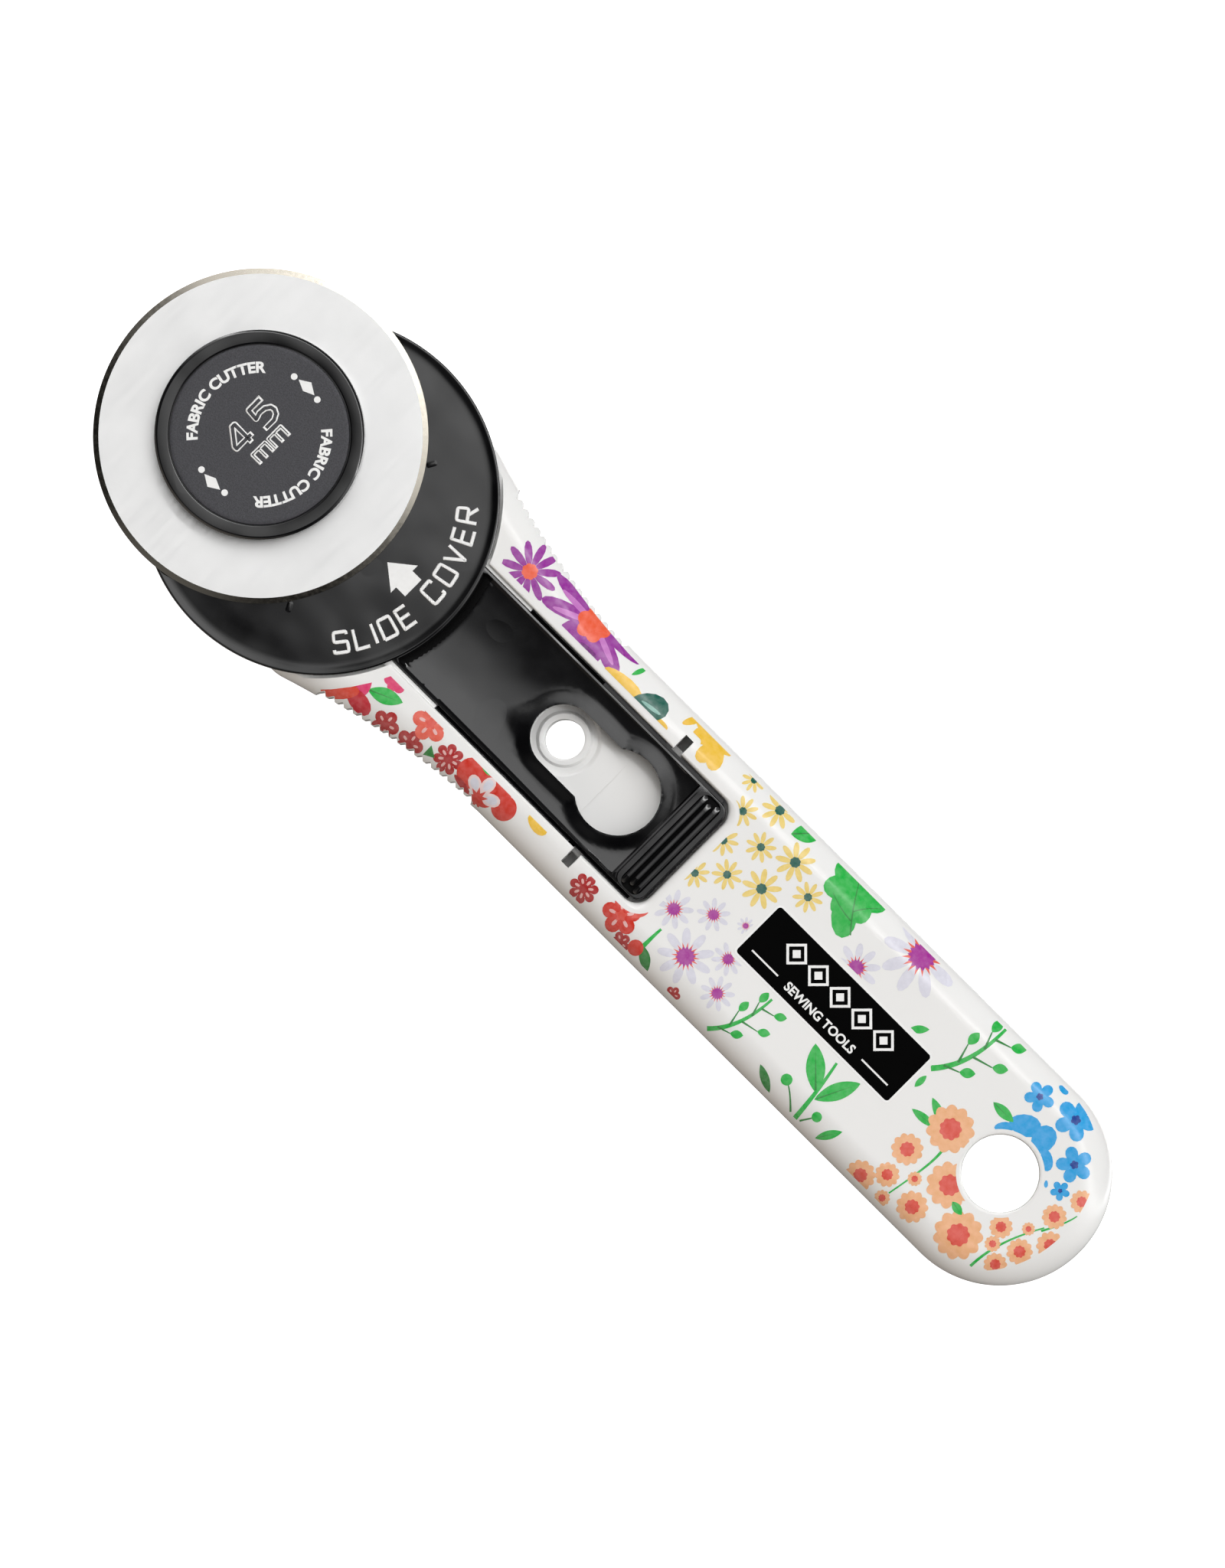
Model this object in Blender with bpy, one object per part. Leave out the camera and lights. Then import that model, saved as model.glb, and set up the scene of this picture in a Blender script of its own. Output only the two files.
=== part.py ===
"""Straight-handled 45 mm rotary cutter, for Blender 4.5. Metres, +Z up.

The cutter lies on its back, on the clamping nut, with its blade side up.
+X runs along the handle, from the blade end to the tail. The origin is the
middle of the bounding box's base. Every shape is drawn about the bolt's axis,
and an empty then moves the whole cutter to that origin.
"""

import math

import bmesh
import bpy

MM = 0.001

# Driving dimensions
BLADE_RADIUS = 22.5 * MM
BLADE_THICKNESS = 0.3 * MM
BLADE_BORE_RADIUS = 4.0 * MM
COVER_TRAVEL = 11.3 * MM
COVER_RADIUS = 24.1 * MM
HANDLE_HALF_WIDTH = 15.1 * MM
TAIL_CENTRE = 139.8 * MM
HEAD_RADIUS = 17.5 * MM
CAP_RADIUS = 14.1 * MM
NUT_RADIUS = 12.0 * MM
HANGING_HOLE_RADIUS = 5.2 * MM
HANGING_HOLE_X = 139.9 * MM

# Heights of the stack above the nut's outer face
NUT_FACE = 0.0
HANDLE_BACK = 2.5 * MM
NUT_INNER_FACE = 6.0 * MM
HEAD_BACK = 7.4 * MM
CHANNEL_FLOOR = 9.4 * MM
HEAD_FRONT = 11.4 * MM
HANDLE_FRONT = 12.9 * MM
COVER_BACK = 11.55 * MM
COVER_FRONT = 13.25 * MM
BLADE_BACK = 13.4 * MM
BLADE_FRONT = BLADE_BACK + BLADE_THICKNESS
CAP_BACK = 13.85 * MM
CAP_FRONT = 17.2 * MM

# Handle details
FRONT_ROUNDING = 4.6 * MM
BACK_ROUNDING = 3.0 * MM
CHANNEL_START = 22.0 * MM
CHANNEL_END = 81.0 * MM
CHANNEL_HALF_WIDTH = 9.4 * MM
SIGHT_HOLE_X = 57.4 * MM
SIGHT_HOLE_RADIUS = 2.7 * MM
SIGHT_BOSS_RADIUS = 3.9 * MM
NOTCH_START = 68.7 * MM
NOTCH_END = 70.1 * MM
NOTCH_HALF_WIDTH = 11.9 * MM
TOOTH_COUNT = 18
TOOTH_START = 29.45 * MM
TOOTH_PITCH = 1.397 * MM
TOOTH_RECESS = 0.45 * MM
TOOTH_DEPTH = 0.55 * MM
NUT_BAY_CENTRE_X = -20.0 * MM
NUT_BAY_RADIUS = 41.0 * MM
NUT_BAY_SWEEP = 33
NUT_BAY_MOUTH = 24.0 * MM

# Slider tail of the blade cover
TAIL_START = 33.5 * MM
TAIL_END = 80.3 * MM
TAIL_BACK = 9.55 * MM
TAIL_FRONT = 12.7 * MM
TAIL_HALF_WIDTH = 8.75 * MM
FLANGE_START = 42.3 * MM
FLANGE_HALF_WIDTH = 9.2 * MM
FLANGE_FRONT = 10.9 * MM
DISH_FLOOR = 11.3 * MM
DISH_HALF_WIDTH = 7.9 * MM
KEYHOLE_SMALL = (57.3 * MM, 4.5 * MM)
KEYHOLE_LARGE = (67.6 * MM, 5.8 * MM)
LUG_X = 68.0 * MM
LUG_LENGTH = 1.0 * MM
LUG_HALF_SPAN = 10.1 * MM
DISH_END = 74.9 * MM
RIB_FRAME = (75.1 * MM, 80.1 * MM, 8.7 * MM, 1.5 * MM)
RIB_WELL = (75.95 * MM, 79.3 * MM, 8.45 * MM, 1.2 * MM)
RIB_FRAME_RISE = 0.2 * MM
RIB_RISE = 0.4 * MM
RIB_HALF_WIDTH = 0.42 * MM
RIBS = ((76.5 * MM, 8.15 * MM), (77.6 * MM, 7.6 * MM), (78.7 * MM, 8.15 * MM))

BOLT_SHOULDER_RADIUS = 3.9 * MM
BOLT_HOLE_RADIUS = 4.0 * MM
BOLT_FLAT = 3.2 * MM
THREAD_RADIUS = 2.9 * MM
OVERCUT = 1.0 * MM
FIT_GAP = 0.1 * MM

LENGTH_MIDDLE = (TAIL_CENTRE + HANDLE_HALF_WIDTH - BLADE_RADIUS) / 2


# Materials

MATERIALS = {
    "white_plastic": ((0.86, 0.86, 0.84), 0.28, 0.0),
    "black_gloss_plastic": ((0.012, 0.012, 0.014), 0.18, 0.0),
    "black_matt_plastic": ((0.03, 0.03, 0.034), 0.6, 0.0),
    "blade_steel": ((0.78, 0.78, 0.77), 0.25, 1.0),
    "bolt_steel": ((0.6, 0.6, 0.6), 0.35, 1.0),
    "spring_steel": ((0.42, 0.42, 0.43), 0.3, 1.0),
    "brass": ((0.72, 0.52, 0.22), 0.3, 1.0),
}


def make_material(name):
    colour, roughness, metallic = MATERIALS[name]
    made = bpy.data.materials.new(name)
    made.use_nodes = True
    shader = made.node_tree.nodes["Principled BSDF"]
    shader.inputs["Base Color"].default_value = (*colour, 1.0)
    shader.inputs["Roughness"].default_value = roughness
    shader.inputs["Metallic"].default_value = metallic
    return made


# Outlines: counter-clockwise lists of (x, y)


def arc(centre, radius, start, end, steps):
    """Points along an arc, with both ends; angles in degrees."""
    turns = [math.radians(start + (end - start) * i / steps) for i in range(steps + 1)]
    return [(centre[0] + radius * math.cos(t), centre[1] + radius * math.sin(t)) for t in turns]


def circle(centre, radius, steps):
    return arc(centre, radius, 0, 360, steps)[:-1]


def rectangle(x0, x1, half_width):
    return [(x0, -half_width), (x1, -half_width), (x1, half_width), (x0, half_width)]


def rounded_rectangle(x0, x1, half_width, radius, steps=4):
    corners = [
        (x1 - radius, -half_width + radius, -90),
        (x1 - radius, half_width - radius, 0),
        (x0 + radius, half_width - radius, 90),
        (x0 + radius, -half_width + radius, 180),
    ]
    return [p for x, y, turn in corners for p in arc((x, y), radius, turn, turn + 90, steps)]


def open_front_slot(centre_x, radius, front_x, steps):
    """A half disc about centre_x that runs straight out to front_x, towards the blade end."""
    return arc((centre_x, 0), radius, -90, 90, steps) + [(front_x, radius), (front_x, -radius)]


def bezier(points, steps):
    """Points along a cubic curve."""
    made = []
    for i in range(steps + 1):
        t = i / steps
        weights = ((1 - t) ** 3, 3 * t * (1 - t) ** 2, 3 * t * t * (1 - t), t**3)
        made.append(tuple(sum(w * p[k] for w, p in zip(weights, points)) for k in (0, 1)))
    return made


def neck_curve(steps):
    """The handle's upper side from the shoulder to where it runs parallel."""
    shape = [(24.5, 20.9), (34.0, 17.9), (45.0, 15.6), (56.0, HANDLE_HALF_WIDTH / MM)]
    return bezier([(x * MM, y * MM) for x, y in shape], steps)


def handle_outline():
    """Head disc, straight flank, rounded shoulder, neck and round tail, mirrored about the axis."""
    neck = neck_curve(10)
    shoulder_radius = 5.0 * MM
    slope = math.atan2(neck[1][1] - neck[0][1], neck[1][0] - neck[0][0])
    shoulder = (
        neck[0][0] + shoulder_radius * math.sin(slope),
        neck[0][1] - shoulder_radius * math.cos(slope),
    )
    reach = math.hypot(*shoulder)
    tangent = math.degrees(
        math.atan2(shoulder[1], shoulder[0]) + math.acos((HEAD_RADIUS - shoulder_radius) / reach)
    )
    upper = arc((TAIL_CENTRE, 0), HANDLE_HALF_WIDTH, 0, 90, 12)
    upper += neck[::-1]
    upper += arc(shoulder, shoulder_radius, 90 + math.degrees(slope), tangent, 4)[1:]
    upper += arc((0, 0), HEAD_RADIUS, tangent, 180, 9)
    return upper + [(x, -y) for x, y in upper[-2:0:-1]]


def keyhole(steps=10):
    """The cover's keyhole window: a small round end that widens into a large one."""
    (small_x, small_r), (large_x, large_r) = KEYHOLE_SMALL, KEYHOLE_LARGE
    meet = math.degrees(math.asin(small_r / large_r))
    return arc((large_x, 0), large_r, meet - 180, 180 - meet, 2 * steps) + arc(
        (small_x, 0), small_r, 90, 270, steps
    )


def fluted(radius, depth, flutes, steps_per_flute):
    count = flutes * steps_per_flute
    points = []
    for i in range(count):
        turn = 2 * math.pi * i / count
        r = radius - depth * (1 - math.cos(flutes * turn)) / 2
        points.append((r * math.cos(turn), r * math.sin(turn)))
    return points


def inset(points, distance):
    """The outline moved inwards by distance, each point along its own normal."""
    made = []
    for i, (x, y) in enumerate(points):
        before, after = points[i - 1], points[(i + 1) % len(points)]
        dx, dy = after[0] - before[0], after[1] - before[1]
        length = math.hypot(dx, dy)
        made.append((x - distance * dy / length, y + distance * dx / length))
    return made


# Solids


def as_object(name, mesh_data, root, material=None):
    made = bpy.data.objects.new(name, mesh_data)
    bpy.context.collection.objects.link(made)
    made.parent = root
    if material:
        mesh_data.materials.append(bpy.data.materials[material])
    return made


def stack(name, loops, root, material=None):
    """A closed solid through equal-length loops of (outline, height), lowest first, with flat ends."""
    mesh = bmesh.new()
    rings = [[mesh.verts.new((x, y, z)) for x, y in outline] for outline, z in loops]
    count = len(rings[0])
    for low, high in zip(rings, rings[1:]):
        for i in range(count):
            j = (i + 1) % count
            mesh.faces.new((low[i], low[j], high[j], high[i]))
    mesh.faces.new(rings[0][::-1])
    mesh.faces.new(rings[-1])
    data = bpy.data.meshes.new(name)
    mesh.to_mesh(data)
    mesh.free()
    return as_object(name, data, root, material)


def prism(name, outline, low, high, root, material=None):
    return stack(name, [(outline, low), (outline, high)], root, material)


def turned(name, profile, steps, root, material=None):
    """A closed profile of (radius, height), counter-clockwise, spun about the bolt's axis."""
    mesh = bmesh.new()
    rings = []
    for i in range(steps):
        turn = 2 * math.pi * i / steps
        rings.append([mesh.verts.new((r * math.cos(turn), r * math.sin(turn), z)) for r, z in profile])
    for a, b in zip(rings, rings[1:] + rings[:1]):
        for i in range(len(profile)):
            j = (i + 1) % len(profile)
            mesh.faces.new((a[i], b[i], b[j], a[j]))
    data = bpy.data.meshes.new(name)
    mesh.to_mesh(data)
    mesh.free()
    return as_object(name, data, root, material)


def combine(target, other, operation):
    """Adds a Boolean of other to target; other is a helper that isn't part of the object."""
    other.hide_render = True
    other.display_type = "WIRE"
    boolean = target.modifiers.new(other.name, "BOOLEAN")
    boolean.operation = operation
    boolean.object = other


def cut(target, *cutters):
    for cutter in cutters:
        combine(target, cutter, "DIFFERENCE")


def join(target, *others):
    for other in others:
        combine(target, other, "UNION")


def finish_round(*objects):
    """Smooth shading with sharp edges kept, for round pieces."""
    for item in objects:
        item.data.shade_smooth()
        item.data.set_sharp_from_angle(angle=math.radians(35))


# Pieces


def rounded_body(outline, root):
    """The handle's full-thickness body, with its front and back edges rounded."""
    loops = []
    for turn in (0, 30, 60, 90):
        t = math.radians(turn)
        loops.append(
            (
                inset(outline, BACK_ROUNDING * (1 - math.sin(t))),
                HANDLE_BACK + BACK_ROUNDING * (1 - math.cos(t)),
            )
        )
    for turn in (0, 22.5, 45, 67.5, 90):
        t = math.radians(turn)
        loops.append(
            (
                inset(outline, FRONT_ROUNDING * (1 - math.cos(t))),
                HANDLE_FRONT - FRONT_ROUNDING * (1 - math.sin(t)),
            )
        )
    return stack("handle", loops, root, "white_plastic")


def neck_edge(x):
    """Half width of the neck at x."""
    neck = neck_curve(60)
    for (x0, y0), (x1, y1) in zip(neck, neck[1:]):
        if x0 <= x <= x1:
            return y0 + (y1 - y0) * (x - x0) / (x1 - x0)
    return neck[-1][1]


def tooth_comb(side, root):
    """A strip beside the neck with one V tooth for each grip groove, tips inside the neck's curve."""
    end = TOOTH_START + TOOTH_COUNT * TOOTH_PITCH
    zigzag = [(TOOTH_START, neck_edge(TOOTH_START) - FIT_GAP)]
    for i in range(TOOTH_COUNT):
        for share, depth in ((0.1, 0.0), (0.5, TOOTH_DEPTH), (0.9, 0.0)):
            x = TOOTH_START + (i + share) * TOOTH_PITCH
            zigzag.append((x, neck_edge(x) - TOOTH_RECESS - depth))
    zigzag.append((end, neck_edge(end) - FIT_GAP))
    outer = BLADE_RADIUS + OVERCUT
    outline = zigzag + [(end, outer), (TOOTH_START, outer)]
    if side < 0:
        outline = [(x, -y) for x, y in outline[::-1]]
    return prism(f"tooth_comb_{side}", outline, HANDLE_BACK - OVERCUT, HANDLE_FRONT, root)


def make_handle(root):
    handle = rounded_body(handle_outline(), root)
    above = HANDLE_FRONT + OVERCUT
    below = NUT_FACE - OVERCUT
    front_x = -HEAD_RADIUS - OVERCUT
    cover_seat = open_front_slot(COVER_TRAVEL, COVER_RADIUS + 0.4 * MM, front_x - OVERCUT, 24)
    nut_bay = [(front_x, -NUT_BAY_MOUTH)]
    nut_bay += arc((NUT_BAY_CENTRE_X, 0), NUT_BAY_RADIUS, -NUT_BAY_SWEEP, NUT_BAY_SWEEP, 12)
    nut_bay += [(front_x, NUT_BAY_MOUTH)]
    channel = [(CHANNEL_START, -CHANNEL_HALF_WIDTH)]
    channel += rounded_rectangle(
        CHANNEL_START, CHANNEL_END, CHANNEL_HALF_WIDTH, 2.5 * MM
    )[:10]
    channel += [(CHANNEL_START, CHANNEL_HALF_WIDTH)]
    groove_start = LUG_X - COVER_TRAVEL - LUG_LENGTH
    bolt_hole = [
        (x, max(-BOLT_FLAT, min(BOLT_FLAT, y))) for x, y in circle((0, 0), BOLT_HOLE_RADIUS, 32)
    ]
    cut(
        handle,
        prism("cover_seat", cover_seat, HEAD_FRONT, above, root),
        prism("nut_bay", nut_bay, below, HEAD_BACK, root),
        prism("channel", channel, CHANNEL_FLOOR, above, root),
    )
    boss_top = CHANNEL_FLOOR + 0.5 * MM
    boss = circle((SIGHT_HOLE_X, 0), SIGHT_BOSS_RADIUS, 28)
    join(
        handle,
        stack(
            "sight_boss",
            [
                (boss, CHANNEL_FLOOR - OVERCUT),
                (boss, boss_top - 0.2 * MM),
                (circle((SIGHT_HOLE_X, 0), SIGHT_BOSS_RADIUS - 0.3 * MM, 28), boss_top),
            ],
            root,
        ),
    )
    cut(
        handle,
        prism("notches", rectangle(NOTCH_START, NOTCH_END, NOTCH_HALF_WIDTH), CHANNEL_FLOOR, above, root),
        prism(
            "lug_grooves",
            rectangle(groove_start, NOTCH_END, LUG_HALF_SPAN + 0.3 * MM),
            CHANNEL_FLOOR,
            CHANNEL_FLOOR + 1.1 * MM,
            root,
        ),
        prism("bolt_hole", bolt_hole, below, above, root),
        prism("sight_hole", circle((SIGHT_HOLE_X, 0), SIGHT_HOLE_RADIUS, 24), below, above, root),
        prism("hanging_hole", circle((HANGING_HOLE_X, 0), HANGING_HOLE_RADIUS, 36), below, above, root),
        tooth_comb(1, root),
        tooth_comb(-1, root),
    )
    return handle


def make_blade_cover(root):
    """Guard disc and slider tail, one moulding."""
    centre = (COVER_TRAVEL, 0)
    steps = 64
    cover = stack(
        "blade_cover",
        [
            (circle(centre, COVER_RADIUS - 0.5 * MM, steps), COVER_BACK),
            (circle(centre, COVER_RADIUS, steps), COVER_BACK + 0.4 * MM),
            (circle(centre, COVER_RADIUS, steps), COVER_FRONT - 0.6 * MM),
            (circle(centre, COVER_RADIUS - 0.5 * MM, steps), COVER_FRONT - 0.35 * MM),
            (circle(centre, COVER_RADIUS - 2.8 * MM, steps), COVER_FRONT),
        ],
        root,
        "black_gloss_plastic",
    )
    # The tail meets the disc inside its thickness and runs back in the handle's channel.
    tail = prism(
        "cover_tail",
        rounded_rectangle(TAIL_START, TAIL_END, TAIL_HALF_WIDTH, 1.8 * MM)[:10]
        + [(TAIL_START, TAIL_HALF_WIDTH), (TAIL_START, -TAIL_HALF_WIDTH)],
        TAIL_BACK,
        TAIL_FRONT,
        root,
    )
    flange_end = TAIL_END - 1.8 * MM
    flange = prism(
        "cover_flange",
        rectangle(FLANGE_START, flange_end, FLANGE_HALF_WIDTH),
        TAIL_BACK + 0.05 * MM,
        FLANGE_FRONT,
        root,
    )
    lugs = prism(
        "cover_lugs",
        rectangle(LUG_X - LUG_LENGTH / 2, LUG_X + LUG_LENGTH / 2, LUG_HALF_SPAN),
        TAIL_BACK + 0.1 * MM,
        TAIL_BACK + 0.85 * MM,
        root,
    )
    rib_frame = prism(
        "rib_frame", rounded_rectangle(*RIB_FRAME), TAIL_FRONT - OVERCUT, TAIL_FRONT + RIB_FRAME_RISE, root
    )
    join(cover, tail, flange, lugs, rib_frame)
    dish_front = arc(centre, COVER_RADIUS + 1.6 * MM, 17.9, -17.9, 8)
    dish = dish_front + [(DISH_END, -DISH_HALF_WIDTH), (DISH_END, DISH_HALF_WIDTH)]
    slot = arc((0, 0), BLADE_BORE_RADIUS + FIT_GAP, 90, 270, 12)
    slot += arc(centre, BLADE_BORE_RADIUS + FIT_GAP, -90, 90, 12)
    cut(
        cover,
        prism("dish", dish, DISH_FLOOR, TAIL_FRONT + OVERCUT, root),
        prism("keyhole", keyhole(), TAIL_BACK - OVERCUT, TAIL_FRONT + OVERCUT, root),
        prism("bolt_slot", slot, COVER_BACK - OVERCUT, COVER_FRONT + OVERCUT, root),
        prism("rib_well", rounded_rectangle(*RIB_WELL), TAIL_FRONT - 0.3 * MM, TAIL_FRONT + OVERCUT, root),
    )
    for i, (x, length) in enumerate(RIBS):
        base = rounded_rectangle(x - RIB_HALF_WIDTH, x + RIB_HALF_WIDTH, length, 0.4 * MM, 2)
        crest = inset(base, 0.15 * MM)
        top = TAIL_FRONT + RIB_RISE
        loops = [(base, TAIL_FRONT - OVERCUT), (base, top - 0.2 * MM), (crest, top)]
        join(cover, stack(f"rib_{i + 1}", loops, root))
    return cover


def make_blade(root):
    """Steel disc with a two-sided ground edge; its origin is on its spin axis."""
    bevel = 0.6 * MM
    edge = 0.03 * MM
    middle = (BLADE_BACK + BLADE_FRONT) / 2
    profile = [
        (BLADE_BORE_RADIUS, BLADE_BACK),
        (BLADE_RADIUS - bevel, BLADE_BACK),
        (BLADE_RADIUS, middle - edge / 2),
        (BLADE_RADIUS, middle + edge / 2),
        (BLADE_RADIUS - bevel, BLADE_FRONT),
        (BLADE_BORE_RADIUS, BLADE_FRONT),
    ]
    blade = turned("blade", profile, 72, root, "blade_steel")
    finish_round(blade)
    return blade


def make_bolt(root):
    """Steel bolt: round head, shoulder for the blade, flats in the handle and a threaded end."""
    head_low = CAP_BACK + 0.85 * MM
    head_high = head_low + 1.1 * MM
    bolt = stack(
        "bolt",
        [
            (circle((0, 0), 8.7 * MM, 40), head_low),
            (circle((0, 0), 8.9 * MM, 40), head_low + 0.2 * MM),
            (circle((0, 0), 8.9 * MM, 40), head_high - 0.2 * MM),
            (circle((0, 0), 8.7 * MM, 40), head_high),
        ],
        root,
        "bolt_steel",
    )
    shoulder = circle((0, 0), BOLT_SHOULDER_RADIUS, 32)
    flats = [
        (x, max(FIT_GAP - BOLT_FLAT, min(BOLT_FLAT - FIT_GAP, y))) for x, y in shoulder
    ]
    join(
        bolt,
        prism("bolt_shoulder", shoulder, HEAD_FRONT + FIT_GAP, head_low + 0.3 * MM, root),
        prism("bolt_flats", flats, HEAD_BACK + 0.2 * MM, HEAD_FRONT + 0.3 * MM, root),
        stack(
            "bolt_thread",
            [
                (circle((0, 0), THREAD_RADIUS - 0.4 * MM, 32), NUT_FACE + 1.0 * MM),
                (circle((0, 0), THREAD_RADIUS, 32), NUT_FACE + 1.4 * MM),
                (circle((0, 0), THREAD_RADIUS, 32), HEAD_BACK + 0.5 * MM),
            ],
            root,
        ),
    )
    return bolt


def make_head_cap(root):
    """Black cap round the bolt's head: it presses on the blade and holds the name disc."""
    pocket_radius = 9.0 * MM
    pocket_floor = CAP_BACK + 0.75 * MM
    rebate_floor = CAP_FRONT - 1.1 * MM
    rebate_radius = 12.25 * MM
    profile = [
        (BOLT_SHOULDER_RADIUS + FIT_GAP, CAP_BACK),
        (CAP_RADIUS - 0.3 * MM, CAP_BACK),
        (CAP_RADIUS, CAP_BACK + 0.3 * MM),
        (CAP_RADIUS, CAP_FRONT - 1.0 * MM),
        (CAP_RADIUS - 0.35 * MM, CAP_FRONT - 0.35 * MM),
        (CAP_RADIUS - 1.0 * MM, CAP_FRONT),
        (rebate_radius, CAP_FRONT - 0.1 * MM),
        (rebate_radius, rebate_floor),
        (pocket_radius, rebate_floor),
        (pocket_radius, pocket_floor),
        (BOLT_SHOULDER_RADIUS + FIT_GAP, pocket_floor),
    ]
    cap = turned("head_cap", profile, 56, root, "black_gloss_plastic")
    finish_round(cap)
    return cap


def make_cap_disc(root):
    radius = 12.1 * MM
    low = CAP_FRONT - 1.0 * MM
    high = CAP_FRONT - 0.25 * MM
    disc = stack(
        "cap_disc",
        [
            (circle((0, 0), radius, 56), low),
            (circle((0, 0), radius, 56), high - 0.15 * MM),
            (circle((0, 0), radius - 0.2 * MM, 56), high),
        ],
        root,
        "black_matt_plastic",
    )
    finish_round(disc)
    return disc


def make_spring_washer(root):
    """Saddle-shaped spring washer: a thin ring that rises and falls twice round its rim."""
    inner, outer, thickness, wave = 4.3 * MM, 9.0 * MM, 0.4 * MM, 0.32 * MM
    middle = (NUT_INNER_FACE + HEAD_BACK) / 2
    washer = turned(
        "spring_washer",
        [
            (inner, middle - thickness / 2),
            (outer, middle - thickness / 2),
            (outer, middle + thickness / 2),
            (inner, middle + thickness / 2),
        ],
        48,
        root,
        "spring_steel",
    )
    for vertex in washer.data.vertices:
        x, y = vertex.co.x, vertex.co.y
        vertex.co.z += wave * (x * x - y * y) / (outer * outer)
    finish_round(washer)
    return washer


def make_nut(root):
    """Fluted plastic knob with a threaded brass insert."""
    flutes, steps = 24, 4
    full = fluted(NUT_RADIUS, 0.7 * MM, flutes, steps)
    insert_radius = 5.0 * MM
    knob = stack(
        "nut_knob",
        [
            (inset(full, 0.7 * MM), NUT_FACE),
            (full, NUT_FACE + 0.8 * MM),
            (full, NUT_INNER_FACE - 0.9 * MM),
            (fluted(NUT_RADIUS - 1.3 * MM, 0.2 * MM, flutes, steps), NUT_INNER_FACE),
        ],
        root,
        "black_matt_plastic",
    )
    count = 48
    cut(
        knob,
        stack(
            "knob_dish",
            [
                (circle((0, 0), 8.6 * MM, count), NUT_FACE - OVERCUT),
                (circle((0, 0), 8.6 * MM, count), NUT_FACE),
                (circle((0, 0), 8.2 * MM, count), NUT_FACE + 0.9 * MM),
            ],
            root,
        ),
        prism(
            "insert_seat",
            circle((0, 0), insert_radius + FIT_GAP, 36),
            NUT_FACE - OVERCUT,
            NUT_INNER_FACE + OVERCUT,
            root,
        ),
    )
    insert = turned(
        "nut_insert",
        [
            (THREAD_RADIUS + FIT_GAP, NUT_FACE + 0.6 * MM),
            (insert_radius, NUT_FACE + 0.6 * MM),
            (insert_radius, NUT_INNER_FACE - 0.05 * MM),
            (THREAD_RADIUS + FIT_GAP, NUT_INNER_FACE - 0.05 * MM),
        ],
        36,
        root,
        "brass",
    )
    finish_round(insert)
    return knob, insert


def main():
    for item in list(bpy.data.objects):
        bpy.data.objects.remove(item)
    for name in MATERIALS:
        make_material(name)
    root = bpy.data.objects.new("bolt_axis", None)
    bpy.context.collection.objects.link(root)
    root.location.x = -LENGTH_MIDDLE
    make_handle(root)
    make_blade_cover(root)
    make_blade(root)
    make_bolt(root)
    make_head_cap(root)
    make_cap_disc(root)
    make_spring_washer(root)
    make_nut(root)


main()
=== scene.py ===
"""Looks of the 45 mm rotary cutter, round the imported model.

Pieces are drawn in the bolt frame, in millimetres: x and y from the bolt's axis, z from the nut's
outer face. metres() scales them as their meshes are made, and place() moves them to the row frame
and sets them on their CAD body.
"""

import math

import bmesh
import bpy
import numpy as np
from mathutils import Matrix, Vector, geometry


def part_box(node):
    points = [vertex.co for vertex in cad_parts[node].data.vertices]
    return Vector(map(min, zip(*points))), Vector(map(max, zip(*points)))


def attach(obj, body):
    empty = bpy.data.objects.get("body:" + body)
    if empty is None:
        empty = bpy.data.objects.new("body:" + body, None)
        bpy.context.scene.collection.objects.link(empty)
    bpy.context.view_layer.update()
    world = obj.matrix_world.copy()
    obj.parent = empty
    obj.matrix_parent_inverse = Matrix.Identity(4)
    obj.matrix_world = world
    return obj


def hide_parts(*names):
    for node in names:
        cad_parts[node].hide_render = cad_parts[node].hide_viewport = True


MM = 0.001

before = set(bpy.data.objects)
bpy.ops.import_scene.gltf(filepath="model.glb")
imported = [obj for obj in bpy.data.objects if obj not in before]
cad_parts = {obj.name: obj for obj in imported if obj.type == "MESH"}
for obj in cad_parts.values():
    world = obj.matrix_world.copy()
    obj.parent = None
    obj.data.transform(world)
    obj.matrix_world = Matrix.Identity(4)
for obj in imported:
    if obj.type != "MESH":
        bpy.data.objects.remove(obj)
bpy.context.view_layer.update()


# Sizes and places, in millimetres


def frame_box(node):
    """The lowest and highest corner of a CAD piece."""
    return [Vector(corner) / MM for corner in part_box(node)]


blade_low, blade_high = frame_box("blade")
cover_low, cover_high = frame_box("blade_cover")
handle_low, handle_high = frame_box("handle")

BOLT_X = (blade_low.x + blade_high.x) / 2
BLADE_RADIUS = blade_high.y

# Handle
HANDLE_BACK = handle_low.z
HANDLE_FRONT = handle_high.z
HANDLE_END = handle_high.x - BOLT_X
HALF_WIDTH = 15.1
TAIL_CENTRE = HANDLE_END - HALF_WIDTH
HEAD_RADIUS = 17.5
HEAD_BACK = 7.4
HEAD_FRONT = 11.4
SHOULDER_RADIUS = 5.0
FRONT_ROUNDING = 4.6
BACK_ROUNDING = 3.0
CHANNEL_FLOOR = 9.4
CHANNEL_START = 22.0
CHANNEL_END = 81.0
CHANNEL_HALF_WIDTH = 9.4
NOTCH = (68.7, 70.1)
NOTCH_REACH = 11.9
SIGHT_X = 57.4
SIGHT_RADIUS = 2.7
HANGING_X = TAIL_CENTRE + 0.1
HANGING_RADIUS = 5.2
TOOTH_COUNT = 18
TOOTH_START = 29.45
TOOTH_PITCH = 1.397
TOOTH_RECESS = 0.45
TOOTH_DEPTH = 0.55
LABEL_START = 93.8
LABEL_END = 122.4
LABEL_HALF_WIDTH = 4.25
LABEL_Y = 0.3

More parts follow.
